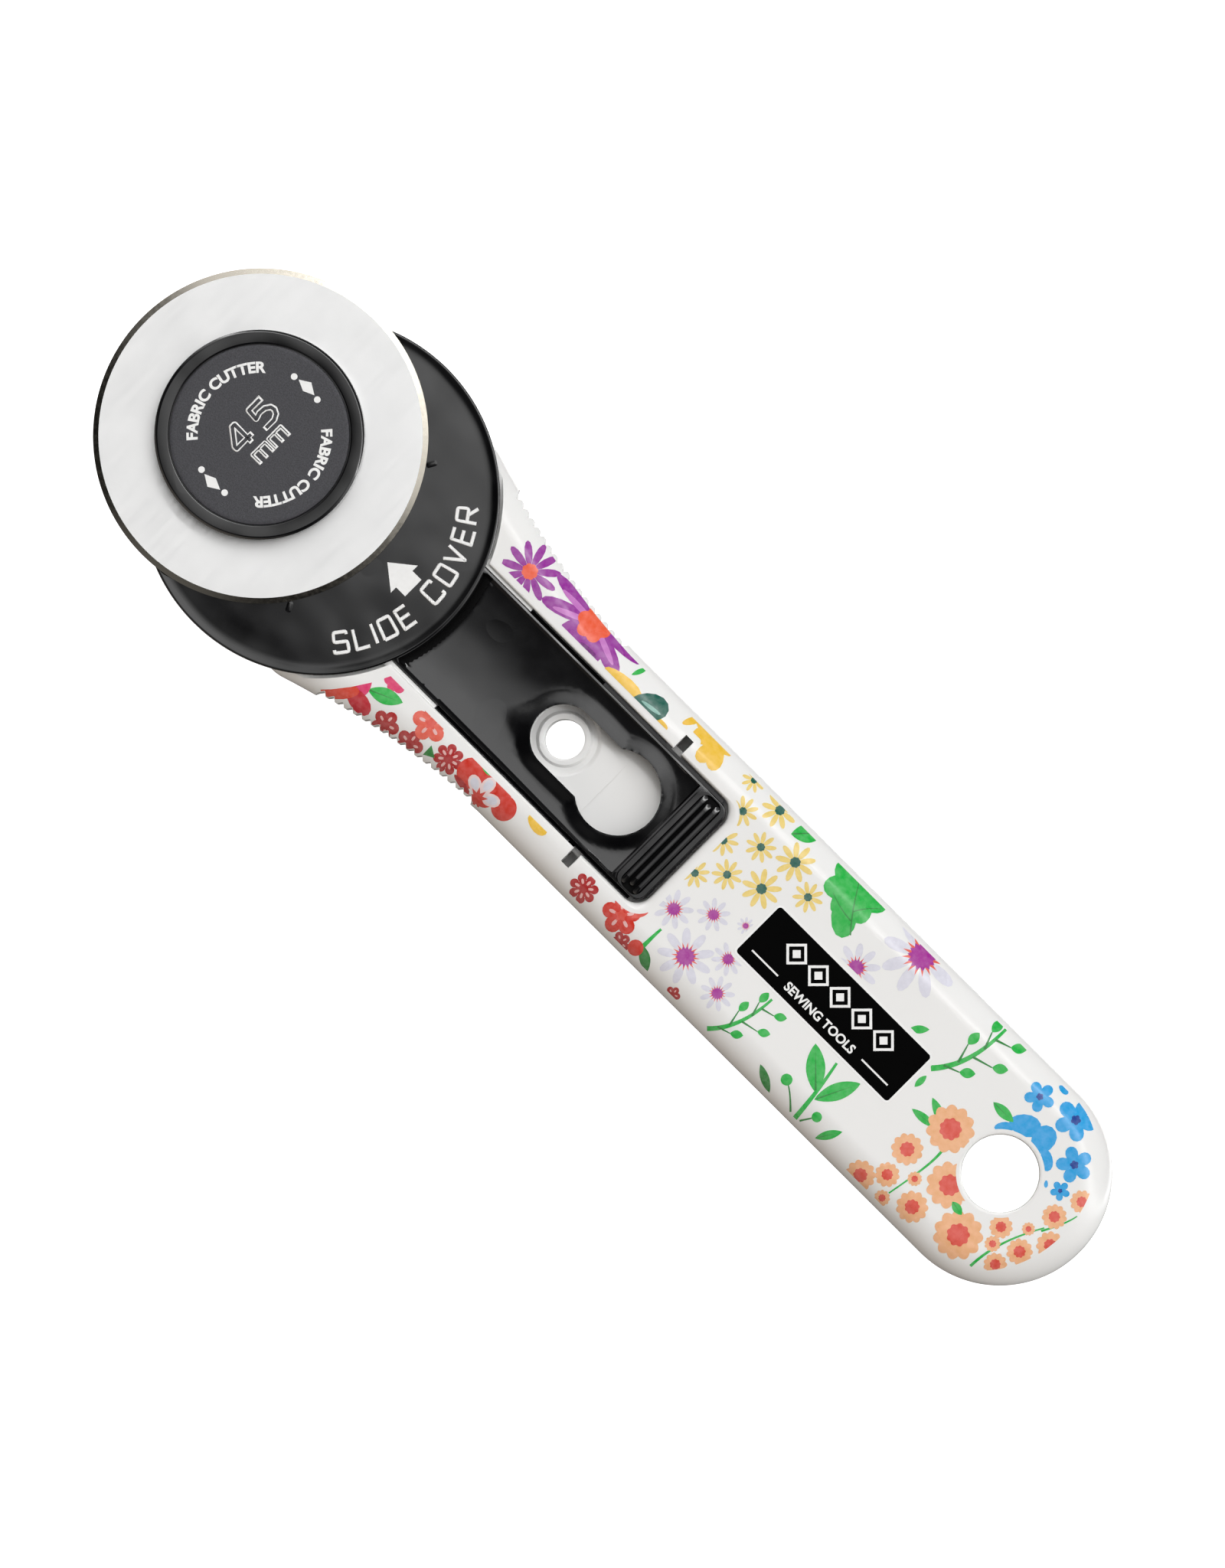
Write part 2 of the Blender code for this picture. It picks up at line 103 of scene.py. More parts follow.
# Blade cover
COVER_RADIUS = cover_high.y
COVER_X = cover_low.x + COVER_RADIUS - BOLT_X
COVER_BACK = 11.55
COVER_FRONT = 13.25
COVER_DOME = 0.55
TAIL_BACK = cover_low.z
TAIL_FRONT = 12.7
TAIL_END = cover_high.x - BOLT_X
TAIL_HALF_WIDTH = 8.75
DISH_END = 74.9
DISH_HALF_WIDTH = 8.45
KEYHOLE_SMALL = (57.3, 4.5)
KEYHOLE_LARGE = (67.6, 5.8)

BOLT_BORE = 4.0
OVERCUT = 1.0


def metres(x, y, z):
    return (x * MM, y * MM, z * MM)


# Camera


def make_camera():
    """A long lens above the label looks at the middle of the cutter."""
    position, target = Vector(metres(73.8, 0, 2100)), Vector(metres(0.17, 0.26, 13.4))
    turn = math.radians(44.9)
    camera = bpy.data.objects.new("camera", bpy.data.cameras.new("camera"))
    bpy.context.scene.collection.objects.link(camera)
    back = (position - target).normalized()
    camera.location = position
    up = back.cross(Vector((math.cos(turn), math.sin(turn), 0))).normalized()
    right = up.cross(back)
    camera.rotation_mode = "QUATERNION"
    camera.rotation_quaternion = Matrix([right, up, back]).transposed().to_quaternion()
    camera.data.sensor_width = 36
    camera.data.lens = 358.1
    camera.data.clip_start = 0.01
    bpy.context.scene.camera = camera


make_camera()


# Outlines: counter-clockwise lists of (x, y)


def polar(x, y, reach, turn):
    """The point at that distance from (x, y), in the direction turn in degrees."""
    return (x + reach * math.cos(math.radians(turn)), y + reach * math.sin(math.radians(turn)))


def arc(centre, radius, start, end, steps):
    """Points along an arc, with both ends; angles in degrees."""
    return [polar(*centre, radius, start + (end - start) * i / steps) for i in range(steps + 1)]


def circle(centre, radius, steps):
    return arc(centre, radius, 0, 360, steps)[:-1]


def radial(x, y, count, reach, turn=0.0):
    """A closed outline whose points are each reach(i) from (x, y)."""
    return [polar(x, y, reach(i), turn + 360 * i / count) for i in range(count)]


def rectangle(x0, x1, y0, y1):
    return [(x0, y0), (x1, y0), (x1, y1), (x0, y1)]


def rounded_rectangle(x0, x1, half_width, radius, steps=8):
    corners = [
        (x1 - radius, -half_width + radius, -90),
        (x1 - radius, half_width - radius, 0),
        (x0 + radius, half_width - radius, 90),
        (x0 + radius, -half_width + radius, 180),
    ]
    return [p for x, y, turn in corners for p in arc((x, y), radius, turn, turn + 90, steps)]


def open_ended(x0, x1, half_width, radius, steps=8):
    """A rectangle with round corners at x1 only."""
    far = rounded_rectangle(x0, x1, half_width, radius, steps)[: 2 * (steps + 1)]
    return [(x0, -half_width)] + far + [(x0, half_width)]


def bezier(points, steps):
    """Points along a cubic curve."""
    made = []
    for i in range(steps + 1):
        t = i / steps
        weights = ((1 - t) ** 3, 3 * t * (1 - t) ** 2, 3 * t * t * (1 - t), t**3)
        made.append(tuple(sum(w * p[k] for w, p in zip(weights, points)) for k in (0, 1)))
    return made


def quarter(radius, steps):
    """Distances (inwards, down from the top) along a quarter round, from its side to its top."""
    turns = [math.pi / 2 * i / steps for i in range(steps + 1)]
    return [(radius * (1 - math.cos(t)), radius * (1 - math.sin(t))) for t in turns]


def neck_curve(steps):
    """The handle's upper side from the shoulder to where it runs parallel."""
    return bezier([(24.5, 20.9), (34.0, 17.9), (45.0, 15.6), (56.0, HALF_WIDTH)], steps)


def handle_outline():
    """Head disc, straight flank, rounded shoulder, neck and round tail, mirrored about the axis."""
    neck = neck_curve(40)
    slope = math.atan2(neck[1][1] - neck[0][1], neck[1][0] - neck[0][0])
    shoulder = (
        neck[0][0] + SHOULDER_RADIUS * math.sin(slope),
        neck[0][1] - SHOULDER_RADIUS * math.cos(slope),
    )
    lean = math.acos((HEAD_RADIUS - SHOULDER_RADIUS) / math.hypot(*shoulder))
    tangent = math.degrees(math.atan2(shoulder[1], shoulder[0]) + lean)
    upper = arc((TAIL_CENTRE, 0), HALF_WIDTH, 0, 90, 36)
    upper += neck[::-1]
    upper += arc(shoulder, SHOULDER_RADIUS, 90 + math.degrees(slope), tangent, 10)[1:]
    upper += arc((0, 0), HEAD_RADIUS, tangent, 180, 30)
    return upper + [(x, -y) for x, y in upper[-2:0:-1]]


def keyhole(grow=0.0):
    """The cover's keyhole window: a small round end that widens into a large one."""
    steps = 24
    (small_x, small_r), (large_x, large_r) = KEYHOLE_SMALL, KEYHOLE_LARGE
    small_r, large_r = small_r + grow, large_r + grow
    meet = math.degrees(math.asin(small_r / large_r))
    large_end = arc((large_x, 0), large_r, meet - 180, 180 - meet, 2 * steps)
    return large_end + arc((small_x, 0), small_r, 90, 270, steps)


def inset(points, distance):
    """The outline moved inwards by distance, each point along its own normal."""
    made = []
    for i, (x, y) in enumerate(points):
        before, after = points[i - 1], points[(i + 1) % len(points)]
        dx, dy = after[0] - before[0], after[1] - before[1]
        length = math.hypot(dx, dy)
        made.append((x - distance * dy / length, y + distance * dx / length))
    return made


def edge_distance(points, outline):
    """Each point's distance to the closed outline, and the unit vector away from the outline."""
    points, ring = np.array(points, float), np.array(outline, float)
    run = np.roll(ring, -1, axis=0) - ring
    offset = points[:, None, :] - ring[None]
    share = np.clip((offset * run).sum(2) / (run * run).sum(1), 0, 1)
    away = offset - share[..., None] * run
    lengths = np.hypot(away[..., 0], away[..., 1])
    nearest = lengths.argmin(1)
    rows = np.arange(len(points))
    distance = lengths[rows, nearest]
    return distance, away[rows, nearest] / np.maximum(distance, 1e-9)[:, None]


def inside_outline(points, outline):
    """Which points lie inside the outline, by counting crossings."""
    points, ring = np.array(points, float), np.array(outline, float)
    result = np.zeros(len(points), bool)
    for (x0, y0), (x1, y1) in zip(ring, np.roll(ring, -1, axis=0)):
        crosses = (y0 > points[:, 1]) != (y1 > points[:, 1])
        if y1 != y0:
            result ^= crosses & (points[:, 0] < (x1 - x0) * (points[:, 1] - y0) / (y1 - y0) + x0)
    return result


def dense(outline, step):
    """The closed outline with further points, no more than step apart."""
    made = []
    for (x0, y0), (x1, y1) in zip(outline, outline[1:] + outline[:1]):
        count = max(1, math.ceil(math.hypot(x1 - x0, y1 - y0) / step))
        made += [(x0 + (x1 - x0) * i / count, y0 + (y1 - y0) * i / count) for i in range(count)]
    return made


def triangulate(points, edges, faces):
    """Constrained Delaunay triangles over points. Each comes with the faces it lies in."""
    verts, _, tris, _, _, inside = geometry.delaunay_2d_cdt(
        [Vector(p) for p in points], edges, [list(f) for f in faces], 0, 1e-5
    )
    return [(v.x, v.y) for v in verts], tris, inside


# Solids


def as_object(name, data, material=None):
    made = bpy.data.objects.new(name, data)
    bpy.context.scene.collection.objects.link(made)
    if material:
        data.materials.append(material)
    return made


def mesh_from(name, mesh):
    data = bpy.data.meshes.new(name)
    mesh.to_mesh(data)
    mesh.free()
    return data


def mesh_of_curve(name, curve):
    """The mesh that a curve or text makes."""
    made = as_object(name, curve)
    bpy.context.view_layer.update()
    graph = bpy.context.evaluated_depsgraph_get()
    data = bpy.data.meshes.new_from_object(made.evaluated_get(graph))
    bpy.data.objects.remove(made)
    return data


def add_stack(mesh, loops):
    """Adds a solid through equal-length loops of (outline, height), lowest first."""
    rings = [[mesh.verts.new(metres(x, y, z)) for x, y in outline] for outline, z in loops]
    count = len(rings[0])
    for low, high in zip(rings, rings[1:]):
        for i in range(count):
            j = (i + 1) % count
            mesh.faces.new((low[i], low[j], high[j], high[i]))
    mesh.faces.new(rings[0][::-1])
    mesh.faces.new(rings[-1])


def stack(name, loops, material=None):
    mesh = bmesh.new()
    add_stack(mesh, loops)
    return as_object(name, mesh_from(name, mesh), material)


def prism(name, outline, low, high, material=None):
    return stack(name, [(outline, low), (outline, high)], material)


def stepped(name, outline, levels, material=None):
    """A solid whose outline has moved inwards by a distance at each level of (distance, height)."""
    return stack(name, [(inset(outline, distance), z) for distance, z in levels], material)


def flared_prism(name, outline, low, high, radius):
    """A cutter whose top spreads outwards, to leave a rounded rim at height high."""
    levels = [(0, low)] + [(-inwards, high - down) for inwards, down in quarter(radius, 4)]
    return stepped(name, outline, levels + [(-radius, high + OVERCUT)])


def turned(name, profile, steps, material=None, centre=(0.0, 0.0)):
    """A closed profile of (radius, height), counter-clockwise, spun about an upright axis.
    Where a radius is 0, the ring closes to one point."""
    mesh = bmesh.new()
    on_axis = {i: mesh.verts.new(metres(*centre, z)) for i, (r, z) in enumerate(profile) if r == 0}
    rings = [
        [
            on_axis.get(k) or mesh.verts.new(metres(*polar(*centre, r, 360 * i / steps), z))
            for k, (r, z) in enumerate(profile)
        ]
        for i in range(steps)
    ]
    for a, b in zip(rings, rings[1:] + rings[:1]):
        for i in range(len(profile)):
            j = (i + 1) % len(profile)
            corners = list(dict.fromkeys((a[i], b[i], b[j], a[j])))
            if len(corners) > 2:
                mesh.faces.new(corners)
    return as_object(name, mesh_from(name, mesh), material)


def ring_profile(inner, outer, low, high, soft_inner, soft_outer, soft_height=None):
    """A flat ring's profile. Its edges are cut off by soft_inner and soft_outer, and soft_height
    is the outer cut's height where that differs."""
    rise = soft_outer if soft_height is None else soft_height
    lower = [(inner, soft_inner), (inner + soft_inner, 0), (outer - soft_outer, 0), (outer, rise)]
    return [(r, low + z) for r, z in lower] + [(r, high - z) for r, z in lower[::-1]]


def carved(name, outline, rings, spacing, height, ceiling):
    """A cutter between the surface height(x, y) and a flat ceiling, inside outline.
    Rings are further lines that the surface's triangles follow."""
    points, edges = [], []
    for ring in [outline, *rings]:
        count = len(ring)
        edges += [(len(points) + i, len(points) + (i + 1) % count) for i in range(count)]
        points += ring
    xs, ys = zip(*outline)
    grid = [
        (x, y)
        for x in np.arange(min(xs) + spacing / 2, max(xs), spacing)
        for y in np.arange(min(ys) + spacing / 2, max(ys), spacing)
    ]
    gaps = np.min([edge_distance(grid, ring)[0] for ring in [outline, *rings]], axis=0)
    keep = inside_outline(grid, outline) & (gaps > 0.35 * spacing)
    points += [p for p, k in zip(grid, keep) if k]
    flat, tris, within = triangulate(points, edges, [range(len(outline))])
    mesh = bmesh.new()
    low = [mesh.verts.new(metres(x, y, z)) for (x, y), z in zip(flat, height(np.array(flat)))]
    for corners, areas in zip(tris, within):
        if 0 in areas:
            mesh.faces.new([low[i] for i in corners[::-1]])
    for vertex in [v for v in mesh.verts if not v.link_faces]:
        mesh.verts.remove(vertex)
    rim = [e for e in mesh.edges if e.is_boundary]
    for item in bmesh.ops.extrude_edge_only(mesh, edges=rim)["geom"]:
        if isinstance(item, bmesh.types.BMVert):
            item.co.z = ceiling * MM
    bmesh.ops.contextual_create(mesh, geom=[e for e in mesh.edges if e.is_boundary])
    bmesh.ops.recalc_face_normals(mesh, faces=mesh.faces[:])
    return as_object(name, mesh_from(name, mesh))


def combine(target, others, operation):
    for other in others:
        boolean = target.modifiers.new(other.name, "BOOLEAN")
        boolean.operation = operation
        boolean.object = other


def cut(target, *cutters):
    combine(target, cutters, "DIFFERENCE")


def join(target, *others):
    combine(target, others, "UNION")


def settle(target):
    """Makes the target's modifiers permanent and removes the helpers that they used."""
    helpers = [m.object for m in target.modifiers if m.type == "BOOLEAN"]
    bpy.context.view_layer.update()
    evaluated = target.evaluated_get(bpy.context.evaluated_depsgraph_get())
    old = target.data
    target.data = bpy.data.meshes.new_from_object(evaluated)
    target.modifiers.clear()
    bpy.data.meshes.remove(old)
    for helper in helpers:
        bpy.data.objects.remove(helper)


def smooth(item, degrees):
    """Smooth shading that keeps sharp edges, weighted so that flat faces stay flat."""
    item.data.shade_smooth()
    item.data.set_sharp_from_angle(angle=math.radians(degrees))
    weighted = item.modifiers.new("weighted_normals", "WEIGHTED_NORMAL")
    weighted.keep_sharp = True


def place(item, body, slot, *nodes, sharp=None):
    """Sets the piece on its body, with smooth shading between edges sharper than sharp."""
    if sharp:
        smooth(item, sharp)
    item.location.x = BOLT_X * MM
    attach(item, body)
    if nodes:
        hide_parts(*nodes)


# Materials


class Nodes:
    """Short names for building one material's node tree."""

    def __init__(self, name):
        self.material = bpy.data.materials.new(name)
        self.material.use_nodes = True
        self.tree = self.material.node_tree
        self.shader = self.tree.nodes["Principled BSDF"]
        self.place = self.new("ShaderNodeTexCoord").outputs["Object"]

    def new(self, kind, **inputs):
        node = self.tree.nodes.new(kind)
        self.fill(node, inputs)
        return node

    def fill(self, node, inputs):
        for key, value in inputs.items():
            socket = node.inputs[key.replace("_", " ")]
            if isinstance(value, bpy.types.NodeSocket):
                self.tree.links.new(value, socket)
            else:
                socket.default_value = value

    def noise(self, size, detail, stretch=(1, 1, 1)):
        """Noise from 0 to 1 with features of about that size in millimetres."""
        scale = tuple(s / (size * MM) for s in stretch)
        vector = self.new("ShaderNodeMapping", Vector=self.place, Scale=scale).outputs[0]
        node = self.new("ShaderNodeTexNoise", Vector=vector, Scale=1.0, Detail=detail)
        return node.outputs["Fac"]

    def spread(self, value, low, high):
        """Maps noise's usual 0.3 to 0.7 onto low to high."""
        ends = {"From_Min": 0.3, "From_Max": 0.7, "To_Min": low, "To_Max": high}
        return self.new("ShaderNodeMapRange", Value=value, **ends).outputs[0]

    def blend(self, value, low, high):
        """A colour from low to high as noise goes from 0.3 to 0.7."""
        node = self.new("ShaderNodeValToRGB", Fac=value)
        ramp = node.color_ramp.elements
        ramp[0].position, ramp[1].position = 0.3, 0.7
        ramp[0].color, ramp[1].color = (*low, 1), (*high, 1)
        return node.outputs[0]

    def bump(self, value, depth, strength=1.0):
        node = self.new("ShaderNodeBump", Height=value, Distance=depth * MM, Strength=strength)
        self.set(Normal=node.outputs[0])

    def set(self, **values):
        self.fill(self.shader, values)
        return self.material


def surface(name, tone, roughness, relief=None, lines=(1, 1, 1), **values):
    """A material of up to three noises of (size, detail, two ends): tone runs between two
    colours, roughness between two values, and relief's ends are its depth and its strength.
    lines stretches the noises of roughness and relief."""
    n = Nodes(name)
    if relief:
        size, detail, depth, strength = relief
        n.bump(n.noise(size, detail, lines), depth, strength)
    size, detail, low, high = roughness
    n.set(Roughness=n.spread(n.noise(size, detail, lines), low, high))
    size, detail, low, high = tone
    return n.set(Base_Color=n.blend(n.noise(size, detail), low, high), **values)


def shade(colour, factor):
    return tuple(c * factor for c in colour)


def ink(name, colour, streak=0.08, shine=0.5):
    """Printed ink: the tone wanders as a brushed petal does."""
    pale = tuple(c + (1 - c) * streak for c in colour)
    tone = (0.9, 4, shade(colour, 1 - streak), pale)
    return surface(
        "ink_" + name, tone, (5, 5, 0.2, 0.3), (1.6, 2, 0.004, 1), Specular_IOR_Level=shine
    )


def black_gloss():
    """Polished black plastic whose face is a little wavy, so that reflections in it wander."""
    n = Nodes("black_gloss_plastic")
    n.bump(n.spread(n.noise(9, 1), 0, 1), 0.09)
    return n.set(
        Base_Color=n.blend(n.noise(6, 4), (0.0015, 0.0015, 0.0018), (0.003, 0.003, 0.0036)),
        Roughness=n.spread(n.noise(3, 6), 0.08, 0.16),
        Specular_IOR_Level=0.75,
    )


def steel(name, colour, roughness, lines, depth=0.002):
    """Steel with fine lines; lines is the noise's stretch, which sets their run."""
    tone = (7, 4, shade(colour, 0.96), shade(colour, 1.03))
    rough = (0.5, 4, roughness - 0.04, roughness + 0.05)
    return surface(name, tone, rough, (0.5, 4, depth, 0.5), lines, Metallic=1.0)


WHITE = surface(
    "white_plastic",
    (9, 4, (0.9, 0.895, 0.88), (0.908, 0.903, 0.89)),
    (4, 2, 0.23, 0.27),
    (1.6, 2, 0.004, 1),
)
BLACK = black_gloss()
# Painted shade: a darker, unpolished black for the faces of narrow recesses, where shade falls
PAINTED_SHADE_BLACK = surface(
    "black_painted_shade_plastic",
    (1, 3, (0.0008, 0.0008, 0.0009), (0.002, 0.002, 0.0022)),
    (1, 3, 0.6, 0.75),
    (0.3, 2, 0.01, 1),
    Specular_IOR_Level=0.12,
)
# Matt black plastic with a fine spark-eroded grain
GRAIN = surface(
    "black_grain_plastic",
    (0.2, 2, (0.042, 0.042, 0.048), (0.068, 0.068, 0.077)),
    (1.2, 4, 0.5, 0.62),
    (0.16, 2, 0.03, 0.8),
    Specular_IOR_Level=0.4,
)
LETTERING = surface(
    "white_lettering", (0.7, 3, (0.92, 0.92, 0.91), (0.97, 0.97, 0.96)), (0.6, 3, 0.35, 0.5)
)
BLADE_STEEL = steel("blade_steel", (0.975, 0.975, 0.97), 0.4, (1, 0.06, 1), 0.0005)
EDGE_STEEL = steel("ground_edge_steel", (0.52, 0.485, 0.42), 0.16, (1, 1, 1), 0.0005)
BOLT_STEEL = steel("bolt_steel", (0.62, 0.62, 0.62), 0.3, (1, 1, 5))
SPRING_STEEL = steel("spring_steel", (0.4, 0.4, 0.42), 0.28, (1, 1, 1))
KNOB = surface(
    "knob_plastic",
    (4, 4, (0.014, 0.014, 0.015), (0.024, 0.024, 0.026)),
    (1.5, 5, 0.36, 0.5),
    (0.3, 3, 0.02, 0.6),
)
BRASS = surface(
    "insert_brass",
    (2, 4, (0.66, 0.45, 0.17), (0.78, 0.58, 0.27)),
    (0.4, 4, 0.24, 0.36),
    (0.4, 4, 0.004, 0.5),
    (1, 1, 6),
    Metallic=1.0,
)

INKS = {
    "purple": (0.34, 0.03, 0.36),
    "violet": (0.2, 0.015, 0.22),
    # painted highlight: pale streaks on the purple flower's petals
    "lilac": (0.62, 0.2, 0.6),
    "orange": (0.95, 0.12, 0.045),
    "yellow": (0.95, 0.58, 0.045),
    "pale_yellow": (0.93, 0.7, 0.2),
    "teal": (0.008, 0.12, 0.085),
    # painted highlight: a pale streak on the teal bud
    "pale_teal": (0.25, 0.5, 0.43),
    "green": (0.012, 0.5, 0.06),
    "dark_green": (0.01, 0.24, 0.03),
    "red": (0.72, 0.03, 0.012),
    "dark_red": (0.48, 0.008, 0.01),
    "crimson": (0.62, 0.0005, 0.02),
    "vermilion": (0.78, 0.045, 0.012),
    "pink": (0.8, 0.04, 0.17),
    "salmon": (0.86, 0.13, 0.08),
    "blush": (0.93, 0.75, 0.75),
    "rose": (0.9, 0.52, 0.5),
    "lavender": (0.78, 0.77, 0.86),
    "magenta": (0.42, 0.03, 0.34),
    "peach": (0.96, 0.5, 0.25),
    "coral": (0.8, 0.09, 0.06),
    "blue": (0.008, 0.38, 0.82),
    "navy": (0.005, 0.05, 0.32),
}
BLACK_INK = ink("label_black", (0.0008, 0.0008, 0.0008), 0.0, 0.03)
INK_MATERIALS = {name: ink(name, colour) for name, colour in INKS.items()}


# Handle


def front_surface(points, lift):
    """Height and normal of the handle's front at each point, raised by lift along the normal."""
    distance, inward = edge_distance(points, handle_outline())
    gap = np.clip(FRONT_ROUNDING - distance, 0, FRONT_ROUNDING * 0.9999)
    rise = np.sqrt(FRONT_ROUNDING**2 - gap**2)
    heights = HANDLE_FRONT - FRONT_ROUNDING + rise
    normals = np.column_stack([-inward * gap[:, None], rise]) / FRONT_ROUNDING
    return heights + lift * normals[:, 2], normals


def neck_edge(x):
    """Half width of the neck at x."""
    return float(np.interp(x, *zip(*neck_curve(120))))


def zigzag():
    """The upper row of grip teeth, tips a little inside the neck's smooth curve."""
    points = [(TOOTH_START, neck_edge(TOOTH_START) - 0.1)]
    for i in range(TOOTH_COUNT):
        for share, drop in ((0.1, 0), (0.45, TOOTH_DEPTH), (0.55, TOOTH_DEPTH), (0.9, 0)):
            x = TOOTH_START + (i + share) * TOOTH_PITCH
            points.append((x, neck_edge(x) - TOOTH_RECESS - drop))
    end = TOOTH_START + TOOTH_COUNT * TOOTH_PITCH
    return points + [(end, neck_edge(end) - 0.1)]


def tooth_comb(side):
    """A strip beside the neck with one V tooth for each grip groove."""
    row, outer = zigzag(), 24.0
    outline = row + [(row[-1][0], outer), (row[0][0], outer)]
    if side < 0:
        outline = [(x, -y) for x, y in outline[::-1]]
    return prism(f"tooth_comb_{side}", outline, HANDLE_BACK - OVERCUT, HANDLE_FRONT)


CHANNEL_FLARE = (
    # growth of the channel's end and of its sides at each height
    (-0.55, -0.05, 9.4), (-0.5, -0.05, 11.4), (-0.4, 0.0, 12.1), (-0.2, 0.08, 12.5),
    (0.1, 0.2, 12.74), (0.45, 0.35, 12.86), (0.8, 0.45, 12.9), (0.8, 0.45, 13.9),
)


def notch_pockets():
    """The deep outer ends of the two notches."""
    return [
        prism(name, rectangle(*NOTCH, *sorted((side * 9.95, side * NOTCH_REACH))), 5, 12)
        for name, side in (("notch_left", 1), ("notch_right", -1))
    ]


def make_handle():
    above, below = HANDLE_FRONT + OVERCUT, -OVERCUT
    levels = [(down, HANDLE_BACK + inwards) for inwards, down in quarter(BACK_ROUNDING, 8)]
    levels += [(inwards, HANDLE_FRONT - down) for inwards, down in quarter(FRONT_ROUNDING, 10)]
    handle = stepped("handle_body", handle_outline(), levels, WHITE)
    front_x = -HEAD_RADIUS - OVERCUT
    seat = arc((COVER_X, 0), COVER_RADIUS + 0.4, -90, 90, 72)
    seat += [(front_x - OVERCUT, seat[-1][1]), (front_x - OVERCUT, seat[0][1])]
    bay = [(front_x, -24), *arc((-20, 0), 41, -33, 33, 48), (front_x, 24)]
    bay_rim = [(inwards, HEAD_BACK - down) for inwards, down in quarter(0.8, 3)]
    channel = open_ended(CHANNEL_START, CHANNEL_END - 0.6, CHANNEL_HALF_WIDTH, 2.2)
    channel_end = [
        (open_ended(70, CHANNEL_END + x, CHANNEL_HALF_WIDTH + y, 2.5), z)
        for x, y, z in CHANNEL_FLARE
    ]
    cut(
        handle,
        prism("cover_seat", seat, HEAD_FRONT, above),
        stepped("nut_bay", bay, [(0, below), *bay_rim]),
        flared_prism("channel", channel, CHANNEL_FLOOR, HANDLE_FRONT, 0.35),
        stack("channel_end", channel_end),
    )
    for side in (-1, 1):
        ledge = rectangle(31, 42.2, *sorted((side * 8.9, side * 10)))
        join(handle, prism(f"channel_ledge_{side}", ledge, 11.1, 12.2))
    pad = circle((SIGHT_X, 0), 6.3, 72)
    join(handle, prism("sight_pad", pad, CHANNEL_FLOOR - OVERCUT, CHANNEL_FLOOR + 0.07))
    floor, boss_top = CHANNEL_FLOOR, CHANNEL_FLOOR + 0.1
    moat = [(0, floor - 0.45), (-0.3, floor - 0.15), (-0.8, floor + 0.08)]
    cut(handle, stepped("sight_moat", circle((SIGHT_X, 0), 4.5, 64), moat))
    boss = [(0, floor - 1.5), (0.7, boss_top - 0.3), (1, boss_top)]
    join(handle, stepped("sight_boss", circle((SIGHT_X, 0), 4.4, 64), boss))
    sight = circle((SIGHT_X, 0), SIGHT_RADIUS, 48)
    countersink = [(0, below), (0, boss_top - 0.3), (-0.6, boss_top + 0.02), (-0.6, above)]
    hanging = circle((HANGING_X, 0), HANGING_RADIUS, 96)
    hanging_levels = [(-0.5, below), (-0.5, HANDLE_BACK), (0, HANDLE_BACK + 0.5)]
    hanging_levels += [(0, HANDLE_FRONT - 0.45), (-0.15, HANDLE_FRONT - 0.15)]
    hanging_levels += [(-0.5, HANDLE_FRONT), (-0.5, above)]
    notch = rectangle(*NOTCH, -NOTCH_REACH, NOTCH_REACH)
    grooves = rectangle(55.7, NOTCH[1], -10.4, 10.4)
    pocket = rectangle(65.8, CHANNEL_END - 1.5, -7.5, 7.5)
    flat = 3.2
    bolt_hole = [(x, max(-flat, min(flat, y))) for x, y in circle((0, 0), BOLT_BORE, 64)]
    cut(
        handle,
        flared_prism("notches", notch, floor, HANDLE_FRONT - 0.1, 0.12),
        prism("lug_grooves", grooves, floor, floor + 1.1),
        prism("floor_pocket", pocket, floor - 0.12, floor + OVERCUT),
        *notch_pockets(),
        prism("bolt_hole", bolt_hole, below, above),
        stepped("sight_hole", sight, countersink),
        stepped("hanging_hole", hanging, hanging_levels),
        tooth_comb(1),
        tooth_comb(-1),
    )
    settle(handle)
    place(handle, "handle", "handle_plastic", "handle", sharp=32)


# Printed flowers: lists of shapes, each (ink, outline), in paint order


def local(x, y, turn, size=1.0, mirror=1):
    """Turns a motif's own (u, v) into the print's (x, y)."""
    c, s = math.cos(math.radians(turn)), math.sin(math.radians(turn))
    return lambda u, v: (x + size * (u * c - mirror * v * s), y + size * (u * s + mirror * v * c))


def oval(x, y, length, width, turn, steps=14, root=0.0):
    """A petal that points along turn from (x, y), starting root away from it."""
    at = local(x, y, turn, 1, -1)
    made = []
    for i in range(steps):
        t = 2 * math.pi * i / steps
        reach = length * (1 - math.cos(t)) / 2
        made.append(at(root + reach, width / 2 * math.sin(t) * (0.75 + 0.25 * reach / length)))
    return made


def wavy(x, y, radius, lobes, depth, turn=0.0, steps=6):
    """A round outline with that many bumps."""

    def reach(i):
        return radius * (1 - depth * (1 - abs(math.cos(math.pi * i / steps))))

    return radial(x, y, lobes * steps, reach, turn)


def star(x, y, radius, spikes, depth, turn=0.0):
    return radial(x, y, 2 * spikes, lambda i: radius * (1 - depth * (i % 2)), turn)


def petal(colour, *shape):
    return [(colour, oval(*shape))]


def dot(colour, x, y, radius, steps=14):
    return [(colour, circle((x, y), radius, steps))]


def ripple(colour, *shape):
    return [(colour, wavy(*shape))]


def each(draw, *rows):
    """The shapes of one drawing function used with each row of arguments."""
    return [shape for row in rows for shape in draw(*row)]


def petals_round(x, y, count, turn, colour, length, width, root, steps=12):
    return [
        (colour, oval(x, y, length, width, turn + 360 * i / count, steps, root))
        for i in range(count)
    ]


def daisy(x, y, radius, petals, turn, colour, middle, share=0.27, width=0.33):
    made = petals_round(x, y, petals, turn, colour, radius * 0.85, radius * width, radius * 0.15)
    return made + ripple(middle, x, y, radius * share, 8, 0.12, turn)


